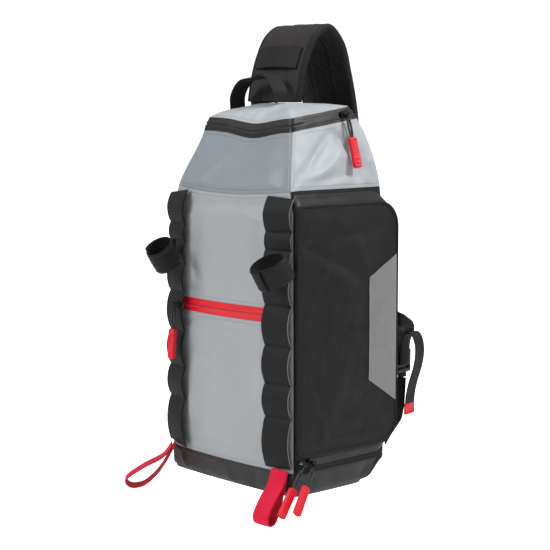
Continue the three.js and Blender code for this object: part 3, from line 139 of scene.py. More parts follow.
class BagColors(bpy.types.PropertyGroup):
    """Colours of the bag's cloths, webbing and moulded parts."""

    grey: color((158, 162, 165), "Front", "Coated cloth of the front panels")
    slate: color((133, 140, 145), "Hood front", "Coated cloth of the hood's front")
    pale: color((168, 173, 178), "Hood sides", "Coated cloth of the hood's sides and the lid")
    coat: color((38, 38, 38), "Base", "Coated cloth of the base")
    band: color((21, 21, 22), "Zip band", "Coated cloth of the zip band and the pocket's gusset")
    black: color((24, 24, 25), "Black cloth", "Woven cloth of the side walls and the pocket")
    strap: color((43, 40, 39), "Strap cloth", "Woven cloth of the strap's outside")
    mesh: color((22, 21, 20), "Mesh", "Spacer mesh of the back and the strap's inside")
    webbing: color((24, 24, 26), "Webbing", "Black webbing")
    red_webbing: color((222, 8, 58), "Red webbing", "Webbing of the two loops")
    red_rubber: color((210, 4, 34), "Grips", "Moulded grips and the label")
    red_zip: color((222, 12, 36), "Front zip", "Tape of the front zip")
    selvedge: color((116, 118, 122), "Selvedge", "Outer edge of the right ladder webbing")
    patch: color((122, 122, 123), "Patch", "Reflective patch of the side pocket")
    plastic: color((16, 16, 17), "Plastic", "Adjuster, cords and zip metal")


def hue(name):
    """One of the bag's colours."""
    return tuple(getattr(bpy.context.scene.sling_colors, name))


def bag(name):
    """A bag size in millimetres."""
    return getattr(bpy.context.scene.sling_bag, name) * 1000


def trim(name):
    """A trim size in millimetres."""
    return getattr(bpy.context.scene.sling_trim, name) * 1000


GAP = 0.3
FRONT_CORNER = 6
BACK_CORNER = 16
CORNER_STEPS = 4
SIDE_COLUMNS = (10, 5, 6, 5)
RING_SIZE = 4 * CORNER_STEPS + sum(SIDE_COLUMNS)
FRONT_LEFT, FRONT_RIGHT, BACK_RIGHT, BACK_LEFT = 2, 16, 25, 35
SEAM_HANG, SEAM_REACH = 6, 20
RIM_SAG, SAG_REACH, SAG_PLACE, SAG_WIDTH = 7, 14, 0.06, 0.17
RIM_TILT = 0.145
DOME_POWER = 2.6

BODY_ROWS = {
    "level": (0.0, 0.02, 0.08, 0.14, 0.2, 0.35, 0.6, 0.8, 0.93, 1.0),
    "half_front": (0.985, 1.0, 1.0, 1.0, 1.0, 1.0, 0.995, 0.99, 0.98, 0.915),
    "half_back": (1.1, 1.13, 1.12, 1.02, 1.0, 1.0, 1.0, 1.0, 1.0, 0.99),
    "front": (0.015, 0.004, 0.0, 0.0, 0.0, 0.0, 0.0, 0.002, 0.008, 0.018),
    "back": (0.69, 0.76, 0.89, 0.95, 1.0, 1.02, 0.98, 0.95, 0.93, 0.915),
    "bulge": (0.03, 0.035, 0.04, 0.043, 0.045, 0.05, 0.05, 0.045, 0.038, 0.03),
}


# Plain functions
def smooth(t):
    """Eases from 0 to 1: three t squared less two t cubed."""
    c = np.clip(t, 0, 1)
    return c * c * (3 - 2 * c)


def hump(t):
    """A bell curve, e to the minus t squared."""
    return np.exp(-np.square(t))


def vec(x, y, z):
    """A point or direction."""
    return np.array([x, y, z], float)


def unit(v):
    """v with a length of one."""
    return v / np.maximum(np.linalg.norm(v, axis=-1, keepdims=True), 1e-9)


RIPPLE_WAVES = ((0.4, 1.0), (1.3, 1.7), (2.2, 0.8), (2.9, 2.3), (0.9, 3.1))


def ripple(u, v, size, seed=0.0):
    """Soft unevenness between -1 and 1: the mean of five sine waves in fixed directions."""
    total = 0
    for k, (angle, share) in enumerate(RIPPLE_WAVES):
        run = u * math.cos(angle) + v * math.sin(angle)
        total = total + np.sin(run * 2 * math.pi * share / size + seed * (k + 1) * 1.7)
    return total / 5


Fold = namedtuple("Fold", "u v angle length width depth")


def folds(u, v, rows):
    """Sum of creases. Each is a bell across its width, faded along its length by a second bell."""
    total = np.zeros(np.broadcast(u, v).shape)
    for f in rows:
        a = math.radians(f.angle)
        along = (u - f.u) * math.cos(a) + (v - f.v) * math.sin(a)
        across = (v - f.v) * math.cos(a) - (u - f.u) * math.sin(a)
        total += f.depth * hump(along / f.length) * hump(across / f.width)
    return total


def front_y():
    """Where the bag's front face lies, in the bag's own frame."""
    return -bag("depth") * 0.47


def rim_level():
    """Height of the hood's top."""
    return bag("body") + bag("hood")


def crest_level():
    """Height of the lid's crest."""
    return rim_level() + bag("band") + bag("crown")


def lid_centre_y():
    """Where the middle of the lid lies from front to back."""
    return front_y() + bag("setback") + bag("top_depth") * 0.52


def strap_root_y():
    """Where the strap meets the lid."""
    return lid_centre_y() + bag("top_depth") * 0.105


def hang_point():
    """The point under the strap's crown. It is the origin of the model's frame."""
    top = crest_level() + trim("rise")
    return vec(-trim("offset"), strap_root_y() + trim("span") * 0.54, top - trim("pad"))


# Surface of the bag
def corners_at(level):
    """Half widths, front, back and bulge of the outline at each level, read from the rows."""
    level = np.asarray(level, float)
    share = np.minimum(level, bag("body")) / bag("body")
    half = bag("width") / 2

    def read(column):
        return np.interp(share, BODY_ROWS["level"], BODY_ROWS[column])

    half_front = half * read("half_front")
    half_back = (half - trim("pocket_depth")) * read("half_back")
    front = front_y() + bag("depth") * read("front")
    back = front_y() + bag("depth") * read("back")
    bulge = bag("depth") * read("bulge")
    t = np.maximum(0, (level - bag("body")) / bag("hood"))
    ease = np.where(t < 1, t + (smooth(t) - t) * 0.35, t)
    late = t**1.5
    top_y = front_y() + bag("setback")
    half_front = half_front + (bag("top_front") / 2 - half_front) * ease
    half_back = half_back + (bag("top_back") / 2 - half_back) * late
    front = front + (top_y - front) * ease
    back = back + (top_y + bag("top_depth") - back) * late
    bulge = bulge * (1 - 0.7 * np.minimum(1, t))
    return half_front, half_back, front, back, bulge


def outline(column, level):
    """Places on the outline. Corners are quadratic curves between two cut points, and each side
    bows outwards as a parabola."""
    column, level = np.broadcast_arrays(np.asarray(column, float) % RING_SIZE, level)
    half_front, half_back, front, back, bulge = corners_at(level)
    corners = [
        np.stack([x, y], -1)
        for x, y in ((-half_front, front), (half_front, front), (half_back, back),
                     (-half_back, back))
    ]
    bows = (bulge, bulge * 0.25, bulge * 0.4, bulge * 0.25)
    radii = (FRONT_CORNER, FRONT_CORNER, BACK_CORNER, BACK_CORNER)
    place = np.zeros(column.shape + (2,))
    start = 0
    for k in range(4):
        here = corners[k]
        along = unit(corners[(k + 1) % 4] - here)
        behind = unit(corners[(k + 3) % 4] - here)
        first = here + behind * radii[k]
        last = here + along * radii[k]
        t = ((column - start) / CORNER_STEPS)[..., None]
        bend = first * (1 - t) ** 2 + here * 2 * t * (1 - t) + last * t**2
        place = np.where((t >= 0) & (t < 1), bend, place)
        start += CORNER_STEPS
        stop = corners[(k + 1) % 4] - along * radii[(k + 1) % 4]
        t = ((column - start) / SIDE_COLUMNS[k])[..., None]
        outward = np.stack([along[..., 1], -along[..., 0]], -1)
        side = last + (stop - last) * t + outward * bows[k][..., None] * 4 * t * (1 - t)
        place = np.where((t >= 0) & (t < 1), side, place)
        start += SIDE_COLUMNS[k]
    return place


def surface(column, level):
    """Points of the bag's outer surface. The hood's seam hangs in the middle of the front, and the
    hood's rim rises towards the back and sags near the middle of its front."""
    column, level = np.broadcast_arrays(column, np.asarray(level, float))
    place = outline(column, level)
    x, y = place[..., 0], place[..., 1]
    top_y = front_y() + bag("setback")
    near_front = smooth((front_y() + SEAM_REACH - y) / SEAM_REACH)
    seam = -SEAM_HANG * np.cos(x / bag("width") * math.pi) * near_front
    near_rim = smooth((top_y + SAG_REACH - y) / SAG_REACH)
    sag = hump((x / bag("width") - SAG_PLACE) / SAG_WIDTH) * near_rim
    rim = (y - top_y) * RIM_TILT - RIM_SAG * sag
    t = (level - bag("body")) / bag("hood")
    low = seam * smooth((level - bag("body") * 0.7) / (bag("body") * 0.3))
    high = seam * np.maximum(0, 1 - t) + rim * smooth(t)
    return np.stack([x, y, level + np.where(t <= 0, low, high)], -1)


def normal_at(column, level):
    """Outward direction of the surface, from its slopes along and up."""
    along = surface(column + 0.25, level) - surface(column - 0.25, level)
    up = surface(column, level + 2) - surface(column, level - 2)
    return unit(np.cross(along, up))


def front_surface(x, level):
    """How far forward the front lies at a place across the bag."""
    half_front, _, front, _, bulge = corners_at(level)
    straight = half_front - FRONT_CORNER
    inside = np.clip((x + straight) / (2 * straight), 0, 1)
    past = np.maximum(0, np.abs(x) - straight)
    return front - bulge * 4 * inside * (1 - inside) + past**2 / (FRONT_CORNER * 4)


def side_surface(y, level):
    """How far to the right the side wall lies."""
    half_front, half_back, front, back, bulge = corners_at(level)
    t = (y - front) / (back - front)
    return half_front + (half_back - half_front) * t + bulge * np.maximum(0, t * (1 - t))


# Mesh building
def finish_piece(obj, nodes, materials):
    """Gives a piece its named materials and its body, and hides the solids it dresses."""
    for material in materials:
        obj.data.materials.append(MATERIALS[material])
    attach(obj, BODY)
    if nodes:
        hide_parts(*nodes)
    return obj


def mesh_object(name, points, faces, uv, edge, material_index=None, place=True):
    """A mesh from arrays, in the row's frame. The sign of its volume turns its faces outwards."""
    verts = np.asarray(points, float)
    if place:
        verts = (verts - hang_point()) / 1000
    volume = 0.0
    for face in faces:
        a = verts[face[:, 0]]
        for k in range(1, face.shape[1] - 1):
            volume += np.einsum("ij,ij->", a, np.cross(verts[face[:, k]], verts[face[:, k + 1]]))
    if volume < 0:
        faces = [face[:, ::-1] for face in faces]
    mesh = bpy.data.meshes.new(name)
    loops = np.concatenate([face.ravel() for face in faces]).astype(np.int32)
    sizes = np.concatenate([np.full(len(face), face.shape[1]) for face in faces])
    starts = np.concatenate([[0], np.cumsum(sizes)[:-1]]).astype(np.int32)
    mesh.vertices.add(len(verts))
    mesh.vertices.foreach_set("co", verts.ravel())
    mesh.loops.add(len(loops))
    mesh.loops.foreach_set("vertex_index", loops)
    mesh.polygons.add(len(sizes))
    mesh.polygons.foreach_set("loop_start", starts)
    layer = mesh.uv_layers.new(name="UVMap")
    layer.data.foreach_set("uv", (np.asarray(uv)[loops] / 1000).ravel())
    if material_index is not None:
        mesh.polygons.foreach_set("material_index", material_index.astype(np.int32))
    attribute = mesh.attributes.new("edge", "FLOAT", "POINT")
    attribute.data.foreach_set("value", np.asarray(edge, float).ravel())
    mesh.update(calc_edges=True)
    mesh.validate()
    mesh.polygons.foreach_set("use_smooth", np.ones(len(mesh.polygons), bool))
    mesh.set_sharp_from_angle(angle=math.radians(50))
    obj = bpy.data.objects.new(name, mesh)
    bpy.context.scene.collection.objects.link(obj)
    return obj


def grid_normals(grid, wrap):
    """Normals of a grid of points from its slopes along columns and up rows."""
    if wrap:
        along = np.roll(grid, -1, 1) - np.roll(grid, 1, 1)
    else:
        along = np.gradient(grid, axis=1)
    return unit(np.cross(along, np.gradient(grid, axis=0)))


def run_lengths(grid, axis=0):
    """Distance along a line or a grid of points, row by row or column by column."""
    steps = np.linalg.norm(np.diff(grid, axis=axis), axis=-1)
    return np.concatenate([np.zeros_like(np.take(steps, [0], axis)), np.cumsum(steps, axis)], axis)


def shell(name, grid, thickness, nodes, materials, wrap=False, relief=None, pillow=0.0):
    """A closed wall: the grid, moved out along its normals by relief(u, v), its inner copy, and a
    rim of three rows between them that rounds the cut edge. edge is the distance to the nearest
    cut edge in millimetres, and pillow lets the outer face fall away near its edges."""
    rows, cols = grid.shape[:2]
    u = run_lengths(grid, 1)
    v = run_lengths(grid, 0)
    edge = np.minimum(v, v[-1:] - v)
    if not wrap:
        edge = np.minimum(edge, np.minimum(u, u[:, -1:] - u))
    normals = grid_normals(grid, wrap)
    lift = np.zeros((rows, cols))
    if relief is not None:
        lift = relief(u, v, edge)
    lift = lift - pillow * hump(edge / 4)
    outer = grid + normals * lift[..., None]
    inner = grid + normals * (np.minimum(lift, 0) - thickness)[..., None]
    count = rows * cols
    points = np.concatenate([outer.reshape(-1, 3), inner.reshape(-1, 3)])
    uv = np.tile(np.stack([u, v], -1).reshape(-1, 2), (2, 1))
    edges = np.tile(edge.ravel(), 2)
    index = np.arange(count).reshape(rows, cols)
    ahead = np.roll(index, -1, 1) if wrap else index[:, 1:]
    here = index if wrap else index[:, :-1]
    outer_faces = np.stack([here[:-1], ahead[:-1], ahead[1:], here[1:]], -1).reshape(-1, 4)
    faces = [outer_faces, outer_faces[:, ::-1] + count]

    def rim(line):
        a, b = (line, np.roll(line, -1)) if wrap else (line[:-1], line[1:])
        return np.stack([b, a, a + count, b + count], -1)

    faces += [rim(index[0]), rim(index[-1])[:, ::-1]]
    if not wrap:
        left, right = index[:, 0], index[:, -1]
        faces.append(np.stack([left[:-1], left[1:], left[1:] + count, left[:-1] + count], -1))
        faces.append(np.stack([right[1:], right[:-1], right[:-1] + count, right[1:] + count], -1))
    obj = mesh_object(name, points, [np.concatenate(faces)], uv, edges)
    return finish_piece(obj, nodes, materials)


def panel(name, first, last, low, high, thickness, nodes, materials, relief=None,
          step=2.2, pillow=0.6):
    """A shell on part of the bag's surface, between two columns and two levels."""
    span = np.linalg.norm(np.diff(surface(np.linspace(first, last, 60), (low + high) / 2), axis=0),
                          axis=1).sum()
    cols = np.linspace(first + 0.06, last - 0.06, max(4, int(span / step)))
    rows = np.linspace(low + GAP / 2, high - GAP / 2, max(4, int((high - low) / step)))
    grid = surface(cols[None, :], rows[:, None])
    return shell(name, grid, thickness, nodes, materials, relief=relief, pillow=pillow)


def smooth_path(guides, count):
    """Evenly spaced points along a centripetal Catmull-Rom curve through the guides: each piece is
    a cubic whose end slopes come from the neighbours, weighted by the roots of the distances."""
    guides = np.asarray(guides, float)
    guides = np.concatenate([[2 * guides[0] - guides[1]], guides, [2 * guides[-1] - guides[-2]]])
    pieces = []
    for p0, p1, p2, p3 in zip(guides, guides[1:], guides[2:], guides[3:]):
        d0, d1, d2 = (max(1e-4, np.linalg.norm(b - a) ** 0.5)
                      for a, b in ((p0, p1), (p1, p2), (p2, p3)))
        s1 = ((p1 - p0) / d0 - (p2 - p0) / (d0 + d1) + (p2 - p1) / d1) * d1
        s2 = ((p2 - p1) / d1 - (p3 - p1) / (d1 + d2) + (p3 - p2) / d2) * d1
        square, cube = -3 * p1 + 3 * p2 - 2 * s1 - s2, 2 * p1 - 2 * p2 + s1 + s2
        t = np.linspace(0, 1, 40, endpoint=False)[:, None]
        pieces.append(p1 + s1 * t + square * t**2 + cube * t**3)
    pieces.append(guides[-2:-1])
    line = np.concatenate(pieces)
    run = run_lengths(line)
    at = np.linspace(0, run[-1], count)
    return np.stack([np.interp(at, run, line[:, k]) for k in range(3)], -1)


def stations(points, across, closed=False):
    """Middle, width direction and outward direction along a path. across is one direction, or
    (first, last, from, to), which turns from first to last between two shares of the path."""
    if closed:
        tangent = unit(np.roll(points, -1, 0) - np.roll(points, 1, 0))
    else:
        tangent = unit(np.gradient(points, axis=0))
    t = np.linspace(0, 1, len(points))[:, None]
    if isinstance(across, tuple):
        first, last, begin, end = across
        width = unit(first + (last - first) * smooth((t - begin) / (end - begin)))
    else:
        width = np.broadcast_to(across, points.shape).astype(float)
    width = unit(width - tangent * np.sum(width * tangent, -1, keepdims=True))
    return points, width, unit(np.cross(width, tangent))


def slab(width, thickness, steps=10, crown=0.0):
    """Section of a flat band with round edges, crowned by a share of its thickness."""
    r = thickness / 2
    x = np.linspace(-1, 1, steps) * (width / 2 - r)
    rise = r * (1 + crown * (1 - (x / (width / 2)) ** 2))
    turn = np.linspace(math.pi / 2, -math.pi / 2, 5)[1:-1]
    top = np.stack([x, rise], -1)
    right = np.stack([width / 2 - r + np.cos(turn) * r, np.sin(turn) * r], -1)
    bottom = np.stack([x[::-1], -rise[::-1]], -1)
    left = np.stack([-(width / 2 - r) - np.cos(turn) * r, -np.sin(turn) * r], -1)
    return np.concatenate([top, right, bottom, left])


def sweep(name, station, section, nodes, slot_name, materials, closed=False, widths=1.0,
          relief=None, split=None):
    """A section swept along stations. widths scales the section across. relief(x, s, side) moves
    points out along the station's outward direction, and split(x, side) picks the material."""
    middle, width, out = station
    n, m = len(middle), len(section)
    x = section[None, :, 0] * np.broadcast_to(np.reshape(widths, (-1, 1)), (n, 1))
    y = np.repeat(section[None, :, 1], n, 0)
    ring = np.concatenate([middle, middle[:1]]) if closed else middle
    s = run_lengths(ring)[:n]
    side = np.sign(np.where(np.abs(section[:, 1]) < 1e-6, 0, section[:, 1]))[None, :]
    if relief is not None:
        y = y + relief(x, s[:, None] + 0 * x, side + 0 * x)
    points = middle[:, None] + width[:, None] * x[..., None] + out[:, None] * y[..., None]
    index = np.arange(n * m).reshape(n, m)
    ahead = np.roll(index, -1, 1)
    if closed:
        low, high, low_a, high_a = index, np.roll(index, -1, 0), ahead, np.roll(ahead, -1, 0)
    else:
        low, high, low_a, high_a = index[:-1], index[1:], ahead[:-1], ahead[1:]
    quads = np.stack([low, low_a, high_a, high], -1).reshape(-1, 4)
    points = points.reshape(-1, 3)
    uv = np.stack([x, s[:, None] + 0 * x], -1).reshape(-1, 2)
    edge = (np.abs(section[:, 0]).max() - np.abs(section[None, :, 0]) + 0 * x).ravel()
    faces = [quads]
    picks = None
    if split is not None:
        pick = split(section[:, 0], side[0])
        picks = np.tile(pick, len(quads) // m)
    if not closed:
        ends = np.stack([points[:m].mean(0), points[-m:].mean(0)])
        points = np.concatenate([points, ends])
        uv = np.concatenate([uv, [[0, s[0]], [0, s[-1]]]])
        edge = np.concatenate([edge, [1, 1]])
        first, last = index[0], index[-1]
        tips = np.full(m, n * m)
        faces.append(np.stack([tips, np.roll(first, -1), first], -1))
        faces.append(np.stack([tips + 1, last, np.roll(last, -1)], -1))
        if picks is not None:
            picks = np.concatenate([picks, np.zeros(2 * m)])
    obj = mesh_object(name, points, faces, uv, edge, picks)
    return finish_piece(obj, nodes, materials)


def tube(name, points, radius, nodes, slot_name, materials, closed=False, sides=12):
    """A round tube along points, its frame kept level with the first normal."""
    turn = np.linspace(0, 2 * math.pi, sides, endpoint=False)
    section = np.stack([np.cos(turn), np.sin(turn)], -1) * radius
    tangent = np.roll(points, -1, 0) - points
    guess = vec(0, 0, 1) if abs(unit(tangent[:-1].mean(0))[2]) < 0.9 else vec(1, 0, 0)
    if closed:
        guess = vec(1, 0, 0)
    return sweep(name, stations(points, guess, closed), section, nodes, slot_name, materials,
                 closed)


# Materials
class Net:
    """A material's nodes, with short calls for what the cloths need."""

    def __init__(self, name, color, roughness, **values):
        self.material = bpy.data.materials.new(name)
        self.material.use_nodes = True
        self.tree = self.material.node_tree
        self.shader = self.tree.nodes["Principled BSDF"]
        self.shader.inputs["Base Color"].default_value = (*color, 1)
        self.shader.inputs["Roughness"].default_value = roughness
        for key, value in values.items():
            self.shader.inputs[key.replace("_", " ")].default_value = value
        uv = self.tree.nodes.new("ShaderNodeUVMap")
        uv.uv_map = "UVMap"
        split = self.tree.nodes.new("ShaderNodeSeparateXYZ")
        self.tree.links.new(uv.outputs["UV"], split.inputs[0])
        self.u, self.v = split.outputs["X"], split.outputs["Y"]
        self.place = self.tree.nodes.new("ShaderNodeTexCoord").outputs["Object"]
        attribute = self.tree.nodes.new("ShaderNodeAttribute")
        attribute.attribute_name = "edge"
        self.edge = attribute.outputs["Fac"]

    def math(self, operation, a, b=0.0, c=0.0):
        """A math node."""
        node = self.tree.nodes.new("ShaderNodeMath")
        node.operation = operation
        for socket, value in zip(node.inputs, (a, b, c)):
            if isinstance(value, (int, float)):
                socket.default_value = value
            else:
                self.tree.links.new(value, socket)
        return node.outputs[0]

    def wave(self, value, period):
        """A sine wave between 0 and 1 of that period in metres."""
        turn = self.math("MULTIPLY", value, 2 * math.pi / period)
        return self.math("MULTIPLY_ADD", self.math("SINE", turn), 0.5, 0.5)

    def noise(self, scale, detail):
        """Cloud noise in object space."""
        node = self.tree.nodes.new("ShaderNodeTexNoise")
        node.inputs["Scale"].default_value = scale
        node.inputs["Detail"].default_value = detail
        self.tree.links.new(self.place, node.inputs["Vector"])
        return node.outputs["Fac"]

    def mix(self, factor, a, b):
        """A colour between a and b."""
        node = self.tree.nodes.new("ShaderNodeMix")
        node.data_type = "RGBA"
        for socket, value in ((node.inputs[0], factor), (node.inputs[6], a), (node.inputs[7], b)):
            if isinstance(value, tuple):
                socket.default_value = (*value, 1)
            elif isinstance(value, (int, float)):
                socket.default_value = value
            else:
                self.tree.links.new(value, socket)
        return node.outputs[2]

    def ramp(self, value, low, high, to_low=0.0, to_high=1.0):
        """Maps low..high to to_low..to_high, kept inside them."""
        node = self.tree.nodes.new("ShaderNodeMapRange")
        node.interpolation_type = "SMOOTHSTEP"
        self.tree.links.new(value, node.inputs[0])
        for k, number in enumerate((low, high, to_low, to_high)):
            node.inputs[k + 1].default_value = number
        return node.outputs[0]

    def color(self, value):
        """Feeds the base colour."""
        self.tree.links.new(value, self.shader.inputs["Base Color"])

    def roughness(self, value):
        """Feeds the roughness."""
        self.tree.links.new(value, self.shader.inputs["Roughness"])

    def bump(self, height, distance, strength=1.0):
        """Adds a bump of that height in metres over the ones before it."""
        node = self.tree.nodes.new("ShaderNodeBump")
        node.inputs["Distance"].default_value = distance
        node.inputs["Strength"].default_value = strength
        self.tree.links.new(height, node.inputs["Height"])
        socket = self.shader.inputs["Normal"]
        if socket.is_linked:
            self.tree.links.new(socket.links[0].from_socket, node.inputs["Normal"])
        self.tree.links.new(node.outputs[0], socket)


def shade(color, factor):
    """A colour times a factor."""
    return tuple(min(1.0, c * factor) for c in color)


def coated_cloth(name, color, roughness=0.42, thread=0.0011, dust=0.1):
    """Coated cloth: broad mottling, a fine square weave under the coat, painted shade darkening it
    within 3 mm of each cut edge along the seams, and one row of stitches 4 mm inside each edge."""
    net = Net(name, color, roughness, Sheen_Weight=0.03, Sheen_Roughness=0.4,
              Specular_IOR_Level=0.4)
    broad = net.noise(16, 4)
    fine = net.noise(240, 2)
    wear_and_seam_shade = net.ramp(net.edge, 0.4, 3.0, 1.0, 0.0)
    base = net.mix(broad, shade(color, 1 - dust), shade(color, 1 + dust))
    base = net.mix(net.math("MULTIPLY", fine, 0.12), base, shade(color, 1.35))
    # Painted shade along the seams: darker within 3 mm of each cut edge.
    base = net.mix(net.math("MULTIPLY", wear_and_seam_shade, 0.25), base, shade(color, 0.72))
    line = net.ramp(net.math("ABSOLUTE", net.math("SUBTRACT", net.edge, 4.0)), 0.2, 0.5, 1.0, 0.0)
    dash = net.math("GREATER_THAN", net.wave(net.math("ADD", net.u, net.v), 0.0032), 0.3)
    stitch = net.math("MULTIPLY", line, dash)
    base = net.mix(net.math("MULTIPLY", stitch, 0.55), base, shade(color, 0.55))
    net.color(base)
    net.roughness(net.ramp(net.noise(40, 4), 0.3, 0.7, roughness - 0.06, roughness + 0.1))
    weave = net.math("MULTIPLY", net.wave(net.u, thread), net.wave(net.v, thread))
    net.bump(weave, 0.00008)
    net.bump(net.noise(55, 4), 0.0004, 0.6)
    net.bump(stitch, 0.0003)
    return net.material


WEBBING_RIB = 0.0021


def webbing_cloth(name, color, depth=1.0, roughness=0.62):
    """Ribbed webbing: ribs along its length broken by slanted picks, with painted light on the rib
    tops and painted shade in the grooves, and tight darker selvedges.
    """
    net = Net(name, color, roughness, Sheen_Weight=0.01, Sheen_Roughness=0.45,
              Specular_IOR_Level=0.22)
    slant = net.math("MULTIPLY_ADD", net.math("ABSOLUTE", net.u), 0.9, net.v)
    pick = net.wave(slant, WEBBING_RIB * 0.62)
    ribs = net.wave(net.u, WEBBING_RIB)
    height = net.math("MULTIPLY", ribs, net.math("MULTIPLY_ADD", pick, 0.6, 0.4))
    selvedge = net.ramp(net.edge, 0.3, 1.6, 1.0, 0.0)
    # Painted light and shade of the ribs: lighter on their tops, darker in their grooves.
    base = net.mix(height, shade(color, 1 - 0.28 * depth), shade(color, 1 + 0.28 * depth))
    base = net.mix(net.math("MULTIPLY", net.noise(60, 3), 0.25), base, shade(color, 1.5))
    base = net.mix(net.math("MULTIPLY", selvedge, 0.5), base, shade(color, 0.6))
    net.color(base)
    net.bump(height, 0.00025 * depth)
    net.bump(net.noise(320, 2), 0.0001, 0.6)
    return net.material


def mesh_cloth(name, color):
    """Spacer mesh: round holes set in diamonds between soft ridges, with painted shade in the holes
    and a painted highlight on the ridges.
    """
    net = Net(name, color, 0.8, Sheen_Weight=0.03, Sheen_Roughness=0.5, Specular_IOR_Level=0.2)
    a = net.wave(net.math("ADD", net.u, net.v), 0.0066)
    b = net.wave(net.math("SUBTRACT", net.u, net.v), 0.0066)
    hole = net.ramp(net.math("MULTIPLY", a, b), 0.35, 0.7, 0.0, 1.0)
    # Painted shade in the holes and a painted highlight on the ridges.
    base = net.mix(hole, shade(color, 3.2), shade(color, 0.3))
    net.color(net.mix(net.math("MULTIPLY", net.noise(90, 3), 0.3), base, shade(color, 1.3)))
    net.bump(net.math("SUBTRACT", 1.0, hole), 0.0007)
    net.bump(net.noise(500, 2), 0.0001, 0.5)
    return net.material


def woven_cloth(name, color, roughness=0.6, thread=0.0009, sheen=0.01):
    """Woven nylon: over and under threads with a painted highlight on the raised ones, mottling,
    paler worn edges and a few slubs.
    """
    net = Net(name, color, roughness, Sheen_Weight=sheen, Sheen_Roughness=0.4,
              Specular_IOR_Level=0.22)
    over = net.wave(net.u, thread)
    under = net.wave(net.v, thread)
    weave = net.math("ABSOLUTE", net.math("SUBTRACT", over, under))
    broad = net.noise(22, 4)
    base = net.mix(broad, shade(color, 0.8), shade(color, 1.22))
    # Painted highlight on the raised threads of the weave.
    base = net.mix(net.math("MULTIPLY", weave, 0.3), base, shade(color, 1.45))
    # Paler worn cloth within 2.5 mm of each edge.
    wear_and_seam_shade = net.ramp(net.edge, 0.3, 2.5, 1.0, 0.0)
    base = net.mix(net.math("MULTIPLY", wear_and_seam_shade, 0.3), base, shade(color, 1.5))
    net.color(base)
    net.roughness(net.ramp(net.noise(35, 4), 0.3, 0.7, roughness - 0.08, roughness + 0.08))
    net.bump(weave, 0.0001)
    net.bump(net.noise(70, 4), 0.00045, 0.6)
    return net.material


def moulded(name, color, roughness, metallic=0.0, grain=500):
    """Moulded or cast surface: fine grain and slight marks."""
    net = Net(name, color, roughness, Metallic=metallic)
    net.color(net.mix(net.noise(80, 4), shade(color, 0.82), shade(color, 1.2)))
    net.roughness(net.ramp(net.noise(160, 4), 0.3, 0.7, roughness - 0.08, roughness + 0.12))
    net.bump(net.noise(grain, 3), 0.0001, 0.6)
    return net.material


def braided(name, color):
    """Braided cord: two slanted sets of strands that cross, lighter on the strands and darker
    between them as painted light and shade.
    """
    net = Net(name, color, 0.6, Sheen_Weight=0.2)
    split = net.tree.nodes.new("ShaderNodeSeparateXYZ")
    net.tree.links.new(net.place, split.inputs[0])
    x, z = split.outputs["X"], split.outputs["Z"]
    a = net.wave(net.math("ADD", x, z), 0.0011)
    b = net.wave(net.math("SUBTRACT", x, z), 0.0011)
    strand = net.math("MAXIMUM", a, b)
    # Painted light on the strands and painted shade between them.
    net.color(net.mix(strand, shade(color, 0.6), shade(color, 1.5)))
    net.bump(strand, 0.0002)
    return net.material


def zip_tape(name, color, coil):
    """Zip tape: coated ribs beside a covered coil, whose two halves meet in a dark line of painted
    shade, with painted shade between the coil's teeth.
    """
    net = Net(name, color, 0.38)
    off = net.math("ABSOLUTE", net.math("SUBTRACT", net.v, coil))
    slit = net.ramp(off, 0.0002, 0.0007, 1.0, 0.0)
    ridge = net.ramp(off, 0.0022, 0.0032, 1.0, 0.0)
    teeth = net.math("MULTIPLY", net.wave(net.u, 0.0016), ridge)
    base = net.mix(net.noise(60, 3), shade(color, 0.86), shade(color, 1.1))
    # Painted shade between the coil's teeth.
    base = net.mix(net.math("MULTIPLY", teeth, 0.18), base, shade(color, 0.6))
    # Painted shade in the slit where the coil's halves meet.
    base = net.mix(net.math("MULTIPLY", slit, 0.75), base, shade(color, 0.25))
    net.color(base)
    net.bump(teeth, 0.00012)
    net.bump(net.math("SUBTRACT", 1.0, slit), 0.0004)
    net.bump(net.wave(net.v, 0.0014), 0.0001, 0.7)
    return net.material


BACKDROP = 1.2


def paper(name, color):
    """Matt studio paper that looks white to the camera but lights the bag like plain paper."""
    net = Net(name, color, 0.9)
    net.shader.inputs["Emission Color"].default_value = (1, 1, 1, 1)
    seen = net.tree.nodes.new("ShaderNodeLightPath").outputs["Is Camera Ray"]
    net.tree.links.new(net.math("MULTIPLY", seen, BACKDROP), net.shader.inputs["Emission Strength"])
    return net.material


def make_materials():
    """Every material of the bag, by name."""
    MATERIALS.update(
        grey=coated_cloth("coated_grey", hue("grey")),
        slate=coated_cloth("coated_slate", hue("slate")),
        pale=coated_cloth("coated_pale", hue("pale")),
        base=coated_cloth("coated_base", hue("coat"), 0.4, dust=0.2),
        band=coated_cloth("coated_band", hue("band"), 0.36, dust=0.2),
        black=woven_cloth("woven_black", hue("black"), 0.6),
        pocket=woven_cloth("woven_pocket", hue("black"), 0.5),
        mesh=mesh_cloth("spacer_mesh", hue("mesh")),
        strap=woven_cloth("strap_cloth", hue("strap"), 0.62),
        webbing=webbing_cloth("webbing_black", hue("webbing"), depth=0.5),
        red_webbing=webbing_cloth("webbing_red", hue("red_webbing"), roughness=0.5),
        selvedge=webbing_cloth("selvedge_grey", hue("selvedge"), depth=0.5),
        red_zip=zip_tape("zip_red", hue("red_zip"), bag("zip_height") / 2000),
        patch=woven_cloth("reflective_print", hue("patch"), 0.4),
        red_rubber=moulded("red_rubber", hue("red_rubber"), 0.42),
        plastic=moulded("black_plastic", hue("plastic"), 0.4),
        metal=moulded("black_enamel", hue("plastic"), 0.32, 0.3),
        cord=braided("braided_cord", hue("plastic")),
        paper=paper("studio_paper", (0.86, 0.86, 0.86)),
    )


# Body and hood
def soften(edge, reach=12.0):
    """0 at a panel's edge and 1 further in than reach millimetres."""
    return smooth(edge / reach)


